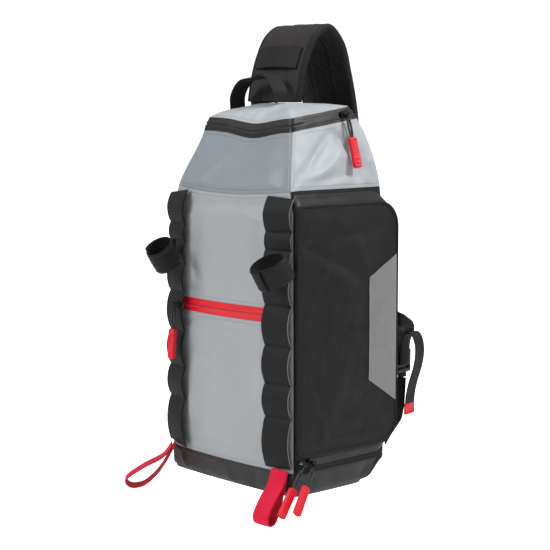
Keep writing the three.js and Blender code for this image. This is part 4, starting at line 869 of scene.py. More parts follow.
FRONT_LOWER_FOLDS = (
    Fold(60, 150, 8, 60, 5, -1.2), Fold(140, 146, -6, 55, 5, -1.0), Fold(45, 70, 78, 60, 9, 1.4),
    Fold(165, 80, 100, 70, 9, 1.3), Fold(105, 12, 2, 70, 6, -1.3), Fold(92, 60, 85, 80, 26, 1.6),
)
FRONT_UPPER_FOLDS = (
    Fold(100, 108, 2, 62, 5, -1.6), Fold(60, 96, 18, 40, 5, 1.3), Fold(140, 96, -16, 40, 5, 1.2),
    Fold(48, 55, 84, 55, 8, -1.2), Fold(158, 58, 96, 55, 8, -1.2), Fold(105, 14, 2, 70, 5, -1.1),
)
HOOD_FRONT_FOLDS = (
    Fold(92, 38, 4, 64, 17, -1.5), Fold(150, 18, 128, 30, 8, 0.9), Fold(172, 12, 112, 20, 6, -0.8),
    Fold(40, 14, 58, 26, 6, 1.0), Fold(100, 8, 0, 60, 4, 0.9),
)
HOOD_SIDE_FOLDS = (
    Fold(30, 34, 50, 40, 6, -3.0), Fold(56, 24, 30, 44, 7, 2.4), Fold(80, 46, 142, 36, 6, -2.6),
    Fold(46, 10, 8, 44, 5, -1.8), Fold(100, 18, 104, 30, 6, -2.0), Fold(16, 14, 66, 24, 5, 2.0),
    Fold(66, 40, 44, 28, 5, 2.0), Fold(120, 30, 84, 26, 6, 1.6),
)
SIDE_FOLDS = (
    Fold(60, 284, 4, 50, 5, -1.2), Fold(100, 276, -14, 40, 5, 1.3), Fold(70, 200, 60, 60, 9, -1.4),
    Fold(50, 120, 110, 60, 9, 1.4), Fold(90, 60, 70, 50, 8, -1.2),
)


FOLD_DEPTH = 1.7


def cloth_relief(rows, wobble, seed, size=46):
    """Creases from a table, plus soft unevenness, both fading out at the panel's seams."""
    def relief(u, v, edge):
        return (FOLD_DEPTH * folds(u, v, rows) + wobble * ripple(u, v, size, seed)) * soften(edge)

    return relief


BEND_RADIUS, FLOOR_LEVEL = 4.0, -0.5


def make_base():
    """The base: a wall round the foot of the bag that turns under on a small radius into a flat
    floor. The rear, behind a slanted plane, is black cloth and the rest is coated."""
    cols = np.linspace(0, RING_SIZE, 200, endpoint=False)
    wall = surface(cols[None, :], np.linspace(bag("base") - GAP / 2, 5, 9)[:, None])
    foot = surface(cols, 0.0)[None]
    centre = foot.mean(axis=1, keepdims=True)
    inward = unit(centre - foot)
    turn = np.linspace(0, math.pi / 2, 6)[1:, None, None]
    drop = BEND_RADIUS + 0.6
    bend = foot + inward * BEND_RADIUS * (1 - np.cos(turn))
    bend = bend + vec(0, 0, 1) * (drop - (drop - FLOOR_LEVEL) * np.sin(turn))
    floor = foot + inward * BEND_RADIUS
    floor = floor + (centre - floor) * np.linspace(0.12, 0.999, 10)[:, None, None]
    floor[..., 2] = FLOOR_LEVEL
    grid = np.concatenate([wall, bend, floor])[::-1]
    creases = tuple(Fold(30 + 41 * k, 50, 66 + 44 * (k % 2), 12, 5, (-1) ** k * 2.0)
                    for k in range(17))

    def relief(u, v, edge):
        from_top = v[-1:] - v
        ridge = 0.9 * hump((from_top - 3.0) / 1.1)
        return ridge + folds(u, from_top + 36, creases) * (from_top < 24) * soften(from_top, 6)

    obj = shell("base_shell", grid, bag("cloth"), ("base_tub", "base_rear_wrap"),
                ("base", "black"), wrap=True, relief=relief)
    middle = np.empty(len(obj.data.polygons) * 3)
    obj.data.polygons.foreach_get("center", middle)
    middle = middle.reshape(-1, 3)
    wrap_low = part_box("base_rear_wrap")[0]
    tub_low, tub_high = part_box("base_tub")
    slope = np.clip((middle[:, 2] - tub_low[2]) / (tub_high[2] - tub_low[2]), 0, 1)
    split = wrap_low[1] + (tub_high[1] - wrap_low[1]) * slope
    obj.data.polygons.foreach_set("material_index", (middle[:, 1] > split).astype(np.int32))


ZIP_FIRST, ZIP_LAST = 5, 13


def make_front():
    """The two front panels, the strips of cloth beside the zip, and the zip between them."""
    low, high = bag("zip_level"), bag("zip_level") + bag("zip_height")
    panel("front_lower", FRONT_LEFT, FRONT_RIGHT, bag("base"), low, bag("cloth"),
          ("front_panel_lower",), ("grey",),
          cloth_relief(FRONT_LOWER_FOLDS, 0.35, 1.0))
    panel("front_upper", FRONT_LEFT, FRONT_RIGHT, high, bag("body"), bag("cloth"),
          ("front_panel_upper",), ("grey",),
          cloth_relief(FRONT_UPPER_FOLDS, 0.35, 2.0))
    for name, first, last in (("left", FRONT_LEFT, ZIP_FIRST), ("right", ZIP_LAST, FRONT_RIGHT)):
        panel(f"front_strip_{name}", first, last, low, high, bag("cloth"), (),
              ("grey",), pillow=0)
    middle = bag("zip_height") / 2

    def coil(u, v, edge):
        return -0.7 + 1.0 * hump((v - middle) / 2.2) - 0.5 * hump((v - middle) / 0.5)

    panel("front_zip", ZIP_FIRST, ZIP_LAST, low, high, bag("cloth") * 0.75, ("front_zip_tape",),
          ("red_zip",), coil, step=1.0, pillow=0)


QUILT_PITCH = 46


def make_sides():
    """The two side walls and the padded back."""
    for name, first, last, seed in (("right", FRONT_RIGHT, BACK_RIGHT, 3.0),
                                    ("left", BACK_LEFT, RING_SIZE + 2, 4.0)):
        panel(f"side_{name}", first, last, bag("base"), bag("body"), bag("cloth"),
              (f"side_wall_{name}",), ("black",),
              cloth_relief(SIDE_FOLDS, 0.5, seed))

    def quilt(u, v, edge):
        spine = hump((u - u.max() / 2) / 5.5)
        ribs = np.abs(np.sin(v / QUILT_PITCH * math.pi)) ** 0.35 - 1
        rib_mask = smooth((np.abs(u - u.max() / 2) - 9) / 6)
        return (-3.0 * spine + 2.4 * ribs * rib_mask) * soften(edge, 14) + 1.2 * soften(edge, 20)

    pad = panel("back_padding", BACK_RIGHT, BACK_LEFT, bag("base"), rim_level() + bag("band") - 1,
                bag("padded_back"), ("back_panel",), ("mesh",), quilt, pillow=2.0)


LID_DENTS = ((-3.6, 20, 17, -30, 15), (-2.0, -44, 18, -22, 12))


def make_hood():
    """The three hood panels, the zip band round their top edge and the domed lid."""
    low, high = rim_level() - 1, rim_level() + bag("band") - 1
    thick = bag("cloth")
    panel("hood_front_cloth", FRONT_LEFT, FRONT_RIGHT, bag("body"), low, thick, ("hood_front",),
          ("slate",), cloth_relief(HOOD_FRONT_FOLDS, 0.5, 5.0))
    panel("hood_right_cloth", FRONT_RIGHT, BACK_RIGHT, bag("body"), low, thick,
          ("hood_side_right",), ("pale",), cloth_relief(HOOD_SIDE_FOLDS, 0.6, 6.0))
    panel("hood_left_cloth", BACK_LEFT, RING_SIZE + 2, bag("body"), low, thick, ("hood_side_left",),
          ("pale",), cloth_relief(HOOD_SIDE_FOLDS, 0.6, 7.0))

    def lips(u, v, edge):
        middle = bag("band") / 2
        coil = 0.9 * hump((v - middle) / 3.4) - 1.3 * hump((v - middle) / 0.7)
        return coil + 0.35 * ripple(u, v, 60, 2.0)

    panel("lid_zip", BACK_LEFT, RING_SIZE + BACK_RIGHT, low, high, thick * 0.75, ("lid_zip_band",),
          ("band",), lips, step=1.4, pillow=0.3)
    cols = np.linspace(0, RING_SIZE, 220, endpoint=False)
    rim = surface(cols, high + GAP)
    share = np.linspace(1, 0.003, 40)[:, None]
    centre = vec(0, lid_centre_y(), 0)
    grid = centre + (rim[None] - centre) * share[..., None]
    grid[..., 2] = crest_level() + (rim[None, :, 2] - crest_level()) * share**DOME_POWER
    angle = np.arctan2(grid[..., 1] - centre[1], grid[..., 0])
    pucker = 0.7 * np.sin(angle * 17 + 1.2 * np.sin(angle * 3)) * hump((share - 0.84) / 0.14)
    dents = 0
    for depth, x, wide, y, deep in LID_DENTS:
        near = hump((grid[..., 0] - x) / wide) * hump((grid[..., 1] - centre[1] - y) / deep)
        dents = dents + depth * near
    grid[..., 2] += (pucker + dents) * smooth((1 - share) / 0.1)
    shell("lid_dome", grid, thick, ("lid",), ("pale",), wrap=True, pillow=0.5)


# Webbing on the front
DAISY_STITCHES = (0.982, 0.868, 0.81, 0.735, 0.63, 0.495, 0.37, 0.26, 0.105)
TOP_STITCH, FOOT_STITCH = 7, 31.0


def daisy_centre():
    """How far out the ladder webbing's middle lies."""
    return bag("width") / 2 - 1 - trim("daisy") / 2


def make_daisy():
    """Ladder webbing: sewn down at each stitch row and bowed off the cloth between them, with a
    selvedge strip on its outer edge, pale on the right webbing and black on the left, and bar tacks
    at the rows."""
    half = trim("daisy") / 2
    for name, sign, turn in (("right", 1, 7), ("left", -1, 14)):
        across = vec(math.cos(math.radians(turn)), sign * math.sin(math.radians(turn)), 0)
        centre = sign * daisy_centre()
        rows = [share * bag("body") for share in DAISY_STITCHES]
        rows[0], rows[-1] = bag("body") - TOP_STITCH, FOOT_STITCH
        levels, bows = [], []
        for top, bottom in zip(rows, rows[1:]):
            t = np.linspace(0, 1, 16, endpoint=False)
            levels.append(top + (bottom - top) * t)
            bows.append(trim("bulge") * min(1, (top - bottom) / 38) * np.sin(math.pi * t) ** 0.8)
        levels = np.concatenate(levels + [[rows[-1]]])
        bows = np.concatenate(bows + [[0.0]])
        u = np.linspace(-half, half, 9)[None, :]
        seat = np.min(front_surface(centre + u * across[0], levels[:, None]) - u * across[1],
                      axis=1)
        y = seat - trim("webbing") / 2 - GAP - 0.1 - bows
        path = np.stack([np.full_like(y, centre), y, levels], -1)
        station = stations(path, across)
        tacks = np.array([rows[0] - row for row in rows])

        def relief(x, s, side):
            near = np.min(np.abs(s[..., None] * 0.93 - tacks), axis=-1)
            cup = 0.8 * (x / half) ** 2 * smooth(near / 10)
            return cup - 0.25 * side * hump(near / 1.5)

        section = slab(trim("daisy"), trim("webbing"), 18)
        sweep(f"daisy_{name}", station, section, (f"daisy_webbing_{name}",), *WEBBING,
              relief=relief)
        middle, width, out = station
        for k, row in enumerate(rows[1:-1]):
            i = int(np.argmin(np.abs(levels - row)))
            tack = np.linspace(-half * 0.8, half * 0.8, 25)[:, None]
            zigzag = 0.9 * np.sign(np.sin(np.arange(25) * math.pi + 0.5))[:, None]
            face = np.sign(-out[i][1])
            points = middle[i] + width[i] * tack + out[i] * face * 1.0 + vec(0, 0, 1) * zigzag
            tube(f"daisy_{name}_tack_{k}", points, 0.32, (), "webbing_black", ("cord",), sides=6)
        edge_at = middle + width * (half - 0.1) * sign + out * np.sign(-out[:, 1:2]) * 0.3
        sweep(f"daisy_{name}_selvedge", (edge_at, width, out), slab(1.1, 1.0, 3), (),
              "webbing_black", ("selvedge" if sign > 0 else "webbing",))


RING_ROWS = (("right", 1, 1.0, 1.0, 38, 0.0), ("left", -1, -0.75, 1.5, 40, 0.2))


RING_START, RING_TURN, RING_TILT = 200, 405, 33


def make_rings():
    """Rod rings: a strap wound a little more than once round, its outer end over its start."""
    face = front_surface(daisy_centre(), trim("ring_level")) - trim("bulge") - trim("webbing") - GAP
    radius = trim("ring_radius")
    for name, sign, aside, ahead, turn, lift in RING_ROWS:
        t = np.linspace(0, 1, 90)
        angle = math.radians(RING_START) + math.radians(RING_TURN) * t
        grown = radius + t * (trim("webbing") + 1.8)
        flat = np.stack([np.cos(angle) * grown, np.sin(angle) * grown * 0.8, 0 * t], -1)
        spin = np.array(Euler((math.radians(RING_TILT), 0, math.radians(turn * sign)),
                              "ZXY").to_matrix())
        place = vec(sign * (daisy_centre() + aside * radius), float(face) - ahead * radius,
                    trim("ring_level") + lift * trim("ring_height"))
        middle, width, out = stations(flat, vec(0, 0, 1))
        station = (middle @ spin.T + place, width @ spin.T, out @ spin.T)

        def relief(x, s, side):
            return 0.35 * np.sin(s / 7) * (x / 13) + 0.5 * (x / 13) ** 2

        sweep(f"ring_{name}", station, slab(trim("ring_height"), trim("webbing"), 14),
              (f"rod_ring_{name}",), *WEBBING, relief=relief)
        rear = station[0][np.argmax(station[0][:, 1])]
        reach = np.linspace(0.4, 5.5, 5)[:, None] * vec(0, 1, 0)
        sweep(f"ring_{name}_tab", stations(rear + reach, vec(0, 0, 1)),
              slab(trim("ring_height") * 0.6, trim("webbing"), 8), (), *WEBBING)
        for k, share in enumerate((-0.78, 0.78)):
            line = station[0] + station[1] * trim("ring_height") / 2 * share
            away = np.sum(station[2] * (station[0] - place), -1, keepdims=True)
            line = line + station[2] * np.sign(away) * 0.85
            tube(f"ring_{name}_stitch_{k}", line[20:], 0.25, (), "webbing_black", ("cord",),
                 sides=6)


LOOP_SHAPE = ((0.02, 0.02), (0.2, 0.28), (0.66, 0.56), (1.0, 0.86), (0.9, 1.0), (0.64, 0.98),
              (0.36, 0.74), (0.16, 0.44), (-0.05, 0.02))
LOOP_TOP = 30.5


def make_loops():
    """Red loops: webbing folded back on itself under the foot of each ladder webbing."""
    loops = (
        ("right", daisy_centre() + 4, 27.0, trim("loop_drop"), 0, 1.2),
        ("left", -daisy_centre(), 54.0, trim("loop_drop") * 0.86, -38, 7.2),
    )
    for name, x, reach, drop, turn, stand in loops:
        a = math.radians(turn)
        ahead = vec(math.sin(a), -math.cos(a), 0)
        across = -np.cross(ahead, vec(0, 0, 1))
        seat = float(front_surface(x, LOOP_TOP)) - GAP - trim("webbing") - 1.2
        start = vec(x, seat, LOOP_TOP) + ahead * stand
        guides = [start + ahead * out * reach + vec(0, 0, -down * drop) for out, down in LOOP_SHAPE]
        station = stations(smooth_path(guides, 90), across)
        sweep(f"loop_{name}", station, slab(trim("loop_width"), trim("webbing"), 14),
              (f"red_loop_{name}",), "red_webbing", ("red_webbing",),
              relief=lambda x, s, side: 0.35 * (x / 12) ** 2)


# Side pocket
POCKET_FOLDS = (
    Fold(-46, 258, -24, 42, 6, -3.0), Fold(-30, 240, -30, 48, 8, 2.2),
    Fold(-52, 214, 62, 44, 6, 2.0), Fold(-6, 276, 8, 46, 6, -1.8),
    Fold(-40, 150, 84, 62, 7, -1.9), Fold(-20, 110, 70, 52, 9, 2.2),
    Fold(-46, 84, 106, 36, 6, 1.8), Fold(10, 92, 30, 40, 7, -1.8),
    Fold(-10, 60, 4, 52, 5, -2.2), Fold(20, 250, 130, 46, 9, 1.8),
    Fold(-58, 290, 50, 20, 5, 1.6), Fold(30, 70, 60, 30, 6, 1.5),
)


POCKET_FRONT, POCKET_REAR = 2, 14
POCKET_STAND, POCKET_DOME, POCKET_DENT = 5.5, 4, 3.2


def pocket_edge(inset, steps):
    """The pocket's edge: a rounded rectangle with small front corners and large rear ones, as
    places (y, z) in order, denser than the solid's."""
    _, _, front, back, _ = corners_at(bag("body") / 2)
    low, high = trim("pocket_bottom") + inset, trim("pocket_top") - inset
    near, far = front + POCKET_FRONT + inset, back - POCKET_REAR - inset
    big, small = 27 - inset, max(3, 7 - inset)
    guides = []
    for y, z, r, begin, sy, sz in ((near, low, small, 180, 1, 1), (far, low, big, 270, -1, 1),
                                   (far, high, big, 0, -1, -1), (near, high, small, 90, 1, -1)):
        turn = np.radians(begin + np.linspace(0, 90, 14))
        guides.append(np.stack([y + sy * r + np.cos(turn) * r, z + sz * r + np.sin(turn) * r], -1))
    line = np.concatenate(guides + [guides[0][:1]])
    run = run_lengths(line)
    at = np.linspace(0, run[-1], steps, endpoint=False)
    return np.stack([np.interp(at, run, line[:, k]) for k in range(2)], -1)


def pocket_face(y, z):
    """How far out the pocket's face lies: a plane level with the front corner, domed between its
    edges and hollowed below its top near the front."""
    _, _, front, back, _ = corners_at(bag("body") / 2)
    across = np.clip((y - front) / (back - POCKET_REAR - front), 0, 1)
    up = np.clip((z - trim("pocket_bottom")) / (trim("pocket_top") - trim("pocket_bottom")), 0, 1)
    dome = POCKET_DOME * np.sin(math.pi * across) ** 0.7 * np.sin(math.pi * up) ** 0.7
    dent = POCKET_DENT * hump((across - 0.28) / 0.2) * hump((up - 0.62) / 0.3)
    return bag("width") / 2 + POCKET_STAND + dome - dent


def pocket_relief(y, z):
    """Creases of the pocket's cloth, which fade out at its edge and under the patch."""
    _, _, front, back, _ = corners_at(bag("body") / 2)
    edge = np.minimum(np.minimum(y - front - 4, back - 16 - y),
                      np.minimum(z - 46, trim("pocket_top") - 2 - z))
    calm = 1 - 0.75 * smooth((y - front_y() - bag("depth") * 0.56) / 14)
    creases = folds(y, z, POCKET_FOLDS) * calm
    return (creases + 0.5 * ripple(y, z, 40, 1.0)) * soften(np.maximum(edge, 0), 14)


def make_pocket():
    """The side pocket: a creased face, the printed patch on its rear, piping round the face and a
    gusset with the zip behind it."""
    edge = pocket_edge(trim("piping") / 2 - 0.3, 260)
    middle = edge.mean(axis=0)
    share = np.linspace(0.004, 1, 46)[:, None, None]
    flat = middle + (edge[None] - middle) * share
    y, z = flat[..., 0], flat[..., 1]
    face = pocket_face(y, z) + pocket_relief(y, z)
    grid = np.stack([face, y, z], -1)[::-1]
    shell("pocket_face", grid, bag("cloth"), ("pocket_panel_right",), ("pocket",),
          wrap=True, pillow=0.8)

    t = np.linspace(0, 1, 30)[None, :]
    up = np.linspace(0, 1, 90)[:, None]
    y = front_y() + bag("depth") * (0.625 + 0.27 * t) + 0 * up
    low = bag("body") * (0.36 - 0.085 * t)
    high = bag("body") * (0.705 + 0.07 * t)
    z = low + (high - low) * up
    stand = pocket_face(y, z) + pocket_relief(y, z) + 0.75
    shell("patch_print", np.stack([stand, y, z], -1), 0.4, ("reflective_patch",),
          ("patch",),
          relief=lambda u, v, edge: 0.3 * hump((np.mod(v, 21) - 10.5) / 3.2) * soften(edge, 8))

    edge = pocket_edge(0, 260)
    y, z = edge[:, 0], edge[:, 1]
    line = np.stack([pocket_face(y, z) - trim("piping") * 0.3, y, z], -1)
    tube("pocket_piping", line, trim("piping") / 2 - 0.1, ("pocket_piping_right",), *WEBBING,
         closed=True)

    half_rise = (trim("pocket_top") - trim("pocket_bottom")) / 2
    mid = (trim("pocket_top") + trim("pocket_bottom")) / 2
    rise = (z - mid) / half_rise
    near = float(corners_at(bag("body") / 2)[2]) + POCKET_FRONT
    back = np.clip((y - near) / (bag("depth") * 0.84), 0, 1)
    wide = np.stack([y + 6 * back**6, z + 12 * np.sign(rise) * np.abs(rise) ** 8], -1)
    seat = side_surface(wide[:, 0], wide[:, 1]) + GAP + 0.5
    top = pocket_face(y, z) - trim("piping") * 0.7
    w = np.linspace(0, 1, 16)[:, None]
    place = wide[None] + (edge - wide)[None] * w[..., None]
    height = seat + (top - seat) * w
    grid = np.concatenate([height[..., None], place], -1)

    def coil(u, v, edge_distance):
        share = v / np.maximum(v[-1:], 1e-6)
        return 0.9 * hump((share - 0.5) / 0.16) - 0.7 * hump((share - 0.5) / 0.04)

    shell("pocket_gusset", grid, bag("cloth") * 0.9, ("pocket_gusset_right",),
          ("band",), wrap=True, relief=coil)


# Strap and handle
STRAP_ROWS = ((0.0, 0.0), (0.05, 0.28), (0.15, 0.6), (0.31, 0.88), (0.54, 1.0), (0.78, 0.78),
              (0.9, 0.42), (1.01, -0.04))


def strap_path():
    """The padded strap's middle line: up from the lid, over the arch and down behind the back."""
    x = -trim("offset")
    low = crest_level() + 1.2
    rise = trim("rise") - trim("pad") / 2 - 1.2
    guides = [vec(x, strap_root_y() + trim("span") * along, low + rise * up)
              for along, up in STRAP_ROWS]
    behind = front_y() + bag("depth") + trim("pad") + 1
    guides += [vec(x + 10, behind, crest_level() - 70), vec(x + 28, behind + 1, 275),
               vec(x + 50, behind + 1, 215)]
    return smooth_path(guides, 170)


def lid_height(x, y):
    """Where a piece rests on the lid."""
    reach_x = (bag("top_front") + bag("top_back")) / 4 - 3
    far = max(abs(x / reach_x), abs((y - lid_centre_y()) / (bag("top_depth") / 2)))
    rim = rim_level() + bag("band") - 1 + (y - front_y() - bag("setback")) * RIM_TILT
    return crest_level() + (rim - crest_level()) * min(1, far) ** DOME_POWER + GAP + 0.8


HANDLE_REACH = 37
HANDLE_ROWS = (
    (-1, 0, 0), (-0.93, 2, 0.42), (-0.55, 3, 0.88), (-0.001, 3, 1.0), (0.55, 3, 0.88),
    (0.93, 2, 0.42), (1, 0, 0),
)


def make_strap():
    """The padded strap: crowned between bound edges, mesh on the wearer's side, with a lengthwise
    channel; the keeper sewn across it, its root on the lid and the carry handle."""
    station = stations(strap_path(), vec(1, 0, 0))
    middle, width, out = station
    share = np.linspace(0, 1, len(middle))
    widths = 1 - 0.42 * smooth((share - 0.66) / 0.34)
    sign = np.where(out[:, 1] < 0, 1, -1)
    outer = int(sign[: len(sign) // 3].sum() > 0) * 2 - 1

    def relief(x, s, side):
        channel = -1.1 * hump((np.abs(x) - 17) / 2.2) * np.abs(side)
        slack = 0.5 * ripple(x, s, 58, 1.0)
        wrinkle = 0.5 * np.sin(s / 5.2) * hump((s - 172) / 46) * smooth((40 - np.abs(x)) / 20)
        return side * (channel + wrinkle * (side != outer)) + slack * smooth((40 - np.abs(x)) / 12)

    def mesh_side(x, side):
        return ((side != outer) & (np.abs(x) < trim("strap") / 2 - 5)).astype(int)

    section = slab(trim("strap") - 2, trim("pad"), 44, crown=0.18)
    pad = sweep("strap_padding", station, section, ("strap_pad",), "padded_cloth",
                ("strap", "mesh"), widths=widths, relief=relief, split=mesh_side)
    for name, sense in (("left", -1), ("right", 1)):
        edge = middle + width * ((trim("strap") / 2 - 2.2) * widths * sense)[:, None]
        turn = np.linspace(0, 2 * math.pi, 16, endpoint=False)
        rim = np.stack([np.cos(turn) * 2.6, np.sin(turn) * (trim("pad") / 2 + 0.35)], -1)
        sweep(f"strap_binding_{name}", (edge, width, out), rim, (), *WEBBING)

    at = int(round(len(middle) * 0.115))
    across = np.linspace(-1, 1, 41)[:, None]
    stand = trim("pad") / 2 + GAP + 0.9 + 5.0 * (1 - across**2)
    face = np.sign(-out[at][1])
    points = middle[at] + width[at] * across * trim("strap") * 0.4 + out[at] * face * stand
    sweep("keeper", stations(points, np.cross(out[at], width[at])), slab(26, trim("webbing"), 12),
          ("strap_keeper",), *WEBBING, relief=lambda x, s, side: 0.3 * ripple(x, s, 30, 3.0))

    root_x = np.linspace(-0.48, 0.48, 33) * trim("strap") - trim("offset")
    root_y = strap_root_y()
    foot = np.array([lid_height(x, root_y) for x in root_x])
    top = crest_level() + 4
    levels = np.stack([foot, (foot + top) / 2, foot * 0 + top])
    root = np.stack([root_x + levels * 0, root_y + levels * 0, levels], -1)
    shell("strap_root", root, trim("pad") * 0.6, (), ("strap",), pillow=0.4)

    y = strap_root_y() - 20
    centre = -trim("offset") - 2
    rise = trim("handle_rise")
    guides = [vec(centre + HANDLE_REACH * a, y - b,
                  lid_height(centre + HANDLE_REACH * np.sign(a), y) + rise * c)
              for a, b, c in HANDLE_ROWS]
    sweep("handle", stations(smooth_path(guides, 70), vec(0, 1, 0)),
          slab(trim("handle"), trim("webbing"), 12), ("grab_handle",), *WEBBING,
          relief=lambda x, s, side: -0.9 * (x / 11) ** 2)


# Pieces that follow their solids
def rounded(nodes, material, width, levels):
    """Solids that keep their own shape, with eased edges and a finish of their own."""
    for node in nodes:
        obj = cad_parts[node]
        obj.data.materials.clear()
        obj.data.materials.append(MATERIALS[material])
        if width:
            bevel = obj.modifiers.new("eased_edges", "BEVEL")
            bevel.width = width
            bevel.segments = 2
            bevel.limit_method = "ANGLE"
            bevel.angle_limit = math.radians(32)
        if levels:
            smoother = obj.modifiers.new("rounded", "SUBSURF")
            smoother.levels = levels
            smoother.render_levels = levels


def own_axes(node):
    """Middle, axes (down its length, across and through) and half sizes of a solid, in metres."""
    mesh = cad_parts[node].data
    points = np.empty(len(mesh.vertices) * 3)
    mesh.vertices.foreach_get("co", points)
    points = points.reshape(-1, 3)
    middle = points.mean(axis=0)
    axes = np.linalg.svd(points - middle, full_matrices=False)[2]
    if axes[0][2] > 0:
        axes[0] *= -1
    axes[2] = np.cross(axes[0], axes[1])
    local = (points - middle) @ axes.T
    low, high = local.min(axis=0), local.max(axis=0)
    return middle + ((high + low) / 2) @ axes, axes, (high - low) / 2


# Lower strap group and zip pulls
SLING_ACROSS = unit(vec(0.25, -0.97, 0))
SLING_OUT = unit(vec(0.97, 0.25, 0))
WING_LOW, WING_HIGH = 36, 109
WING_THICKNESS = 4.2
FOLD_RISE = 34.0
SLING_WIDTH, TAIL_WIDTH, LABEL_WIDTH = 25, 20, 21.6
TAIL_ROWS = ((0.0, -0.1), (0.03, 0.3), (0.12, 0.72), (0.36, 0.97), (0.68, 0.97), (0.93, 0.72),
             (1.0, 0.34), (0.87, -0.12), (0.6, -0.6), (0.43, -1.0), (0.36, -1.35))


def wing_frame(level):
    """Root, outward and sideways directions of the wing at a level."""
    out = normal_at(BACK_RIGHT, (WING_HIGH + WING_LOW) / 2) * vec(1, 1, 0)
    out = unit(out)
    root = surface(BACK_RIGHT, level) + out * (GAP + 0.8)
    return root, out, vec(out[1], -out[0], 0)


def make_wing():
    """The wing: a padded tab whose reach grows upwards, thickest along its middle."""
    rows = np.linspace(WING_LOW, WING_HIGH, 40)
    share = (rows - WING_LOW) / (WING_HIGH - WING_LOW)
    reach = trim("wing_reach") * np.interp(share, (0, 0.12, 0.35, 0.6, 1), (0.1, 0.42, 0.88, 1, 1))
    root, out, side = wing_frame(rows)
    flat = slab(2.0, 0.8, 14)
    flat[:, 1] *= WING_THICKNESS / 0.8
    path = (root + out * reach[:, None] / 2, np.broadcast_to(out, root.shape),
            np.broadcast_to(side, root.shape))
    pad = sweep("wing_pad", path, flat, ("side_wing",), "black_cloth", ("black",), widths=reach / 2,
                relief=lambda x, s, side: side * 0.4 * ripple(x, s, 24, 2.0))


def make_lower_strap():
    """The strap's webbing: over a fold to the adjuster, the doubled length under it, and the tail
    that loops out and hangs with a moulded label."""
    root, out, _ = wing_frame(WING_HIGH)
    centre = root + out * trim("wing_reach") * 0.72
    centre[2] = WING_HIGH + trim("buckle") / 2 + 6
    gap = 1.8 + GAP + trim("webbing") / 2 + 0.15
    path = strap_path()
    coarse = path[np.linspace(0, len(path) - 1, 35).round().astype(int)]
    end, heading = path[-1], unit(coarse[-1] - coarse[-2])
    back_y = front_y() + bag("depth")
    behind = back_y + trim("pad") + 9
    rise = FOLD_RISE
    fold = centre[2] + rise + trim("buckle") * 0.15

    def at(distance, level):
        return (centre + SLING_OUT * distance) * vec(1, 1, 0) + vec(0, 0, level)

    guides = [
        end + heading * (GAP + 0.6),
        end + heading * 10,
        vec((end[0] + centre[0]) / 2, behind, end[2] + (fold - end[2]) * 0.7),
        vec(centre[0] - 18, behind + 2, fold + 3),
        vec(centre[0] - 7, behind + 1, fold),
        at(-gap - 0.8, fold - trim("buckle") * 0.55),
        at(-gap - 0.3, centre[2] + trim("buckle") * 0.46),
        at(-gap - 0.3, centre[2] + trim("buckle") * 0.1),
    ]
    flat = unit(stations(path, vec(1, 0, 0))[1][-1])
    sweep("sling_strap", stations(smooth_path(guides, 70), (flat, -SLING_ACROSS, 0.5, 0.84)),
          slab(SLING_WIDTH, trim("webbing"), 14), ("sling_webbing",), *WEBBING)
    low = centre[2] - trim("buckle") / 2
    anchor = np.array([at(0, WING_HIGH + 0.6), at(0, (WING_HIGH + low) / 2), at(0, low - 0.6)])
    sweep("anchor_strap", stations(anchor, SLING_ACROSS),
          slab(trim("wing_reach"), trim("webbing") * 2, 10), ("anchor_webbing",), *WEBBING)
    slots = np.linspace(-0.56, 0.42, 9)
    threaded = np.array([at(0, centre[2] + trim("buckle") * share) for share in slots])
    sweep("threaded_strap", stations(threaded, SLING_ACROSS),
          slab(TAIL_WIDTH, trim("webbing") * 0.7, 12), (), *WEBBING)
    tail = smooth_path([at(gap + 19 * a, centre[2] + rise * b) for a, b in TAIL_ROWS], 80)
    sweep("tail_strap", stations(tail, SLING_ACROSS), slab(TAIL_WIDTH, trim("webbing"), 12),
          ("webbing_tail",), *WEBBING, relief=lambda x, s, side: 0.3 * (x / 10) ** 2)

    def label_face(x, s, side):
        across = smooth((8 - np.abs(x)) / 1.5)
        return -0.45 * side * across * smooth((s - 2.0) / 1.0) * smooth((10.0 - s) / 1.0)

    drop = np.linspace(GAP + 0.2, GAP + 12.2, 14)[:, None] * vec(0, 0, -1)
    label = slab(LABEL_WIDTH, trim("webbing") * 1.6, 12)
    sweep("label_tab", stations(tail[-1] + drop, SLING_ACROSS), label, ("tail_label",),
          "red_rubber", ("red_rubber",), relief=label_face)


PULLS = ("lid_pull", "front_pull", "pocket_pull_a", "pocket_pull_b")
CORD_RADIUS = 0.00125
CORD_SHAPE = ((1.0, -0.62), (0.5, -0.9), (-0.1, -1.0), (-0.6, -0.9), (-0.88, -0.5), (-0.95, 0.0),
              (-0.88, 0.5), (-0.6, 0.9), (-0.1, 1.0), (0.5, 0.9), (1.0, 0.62))


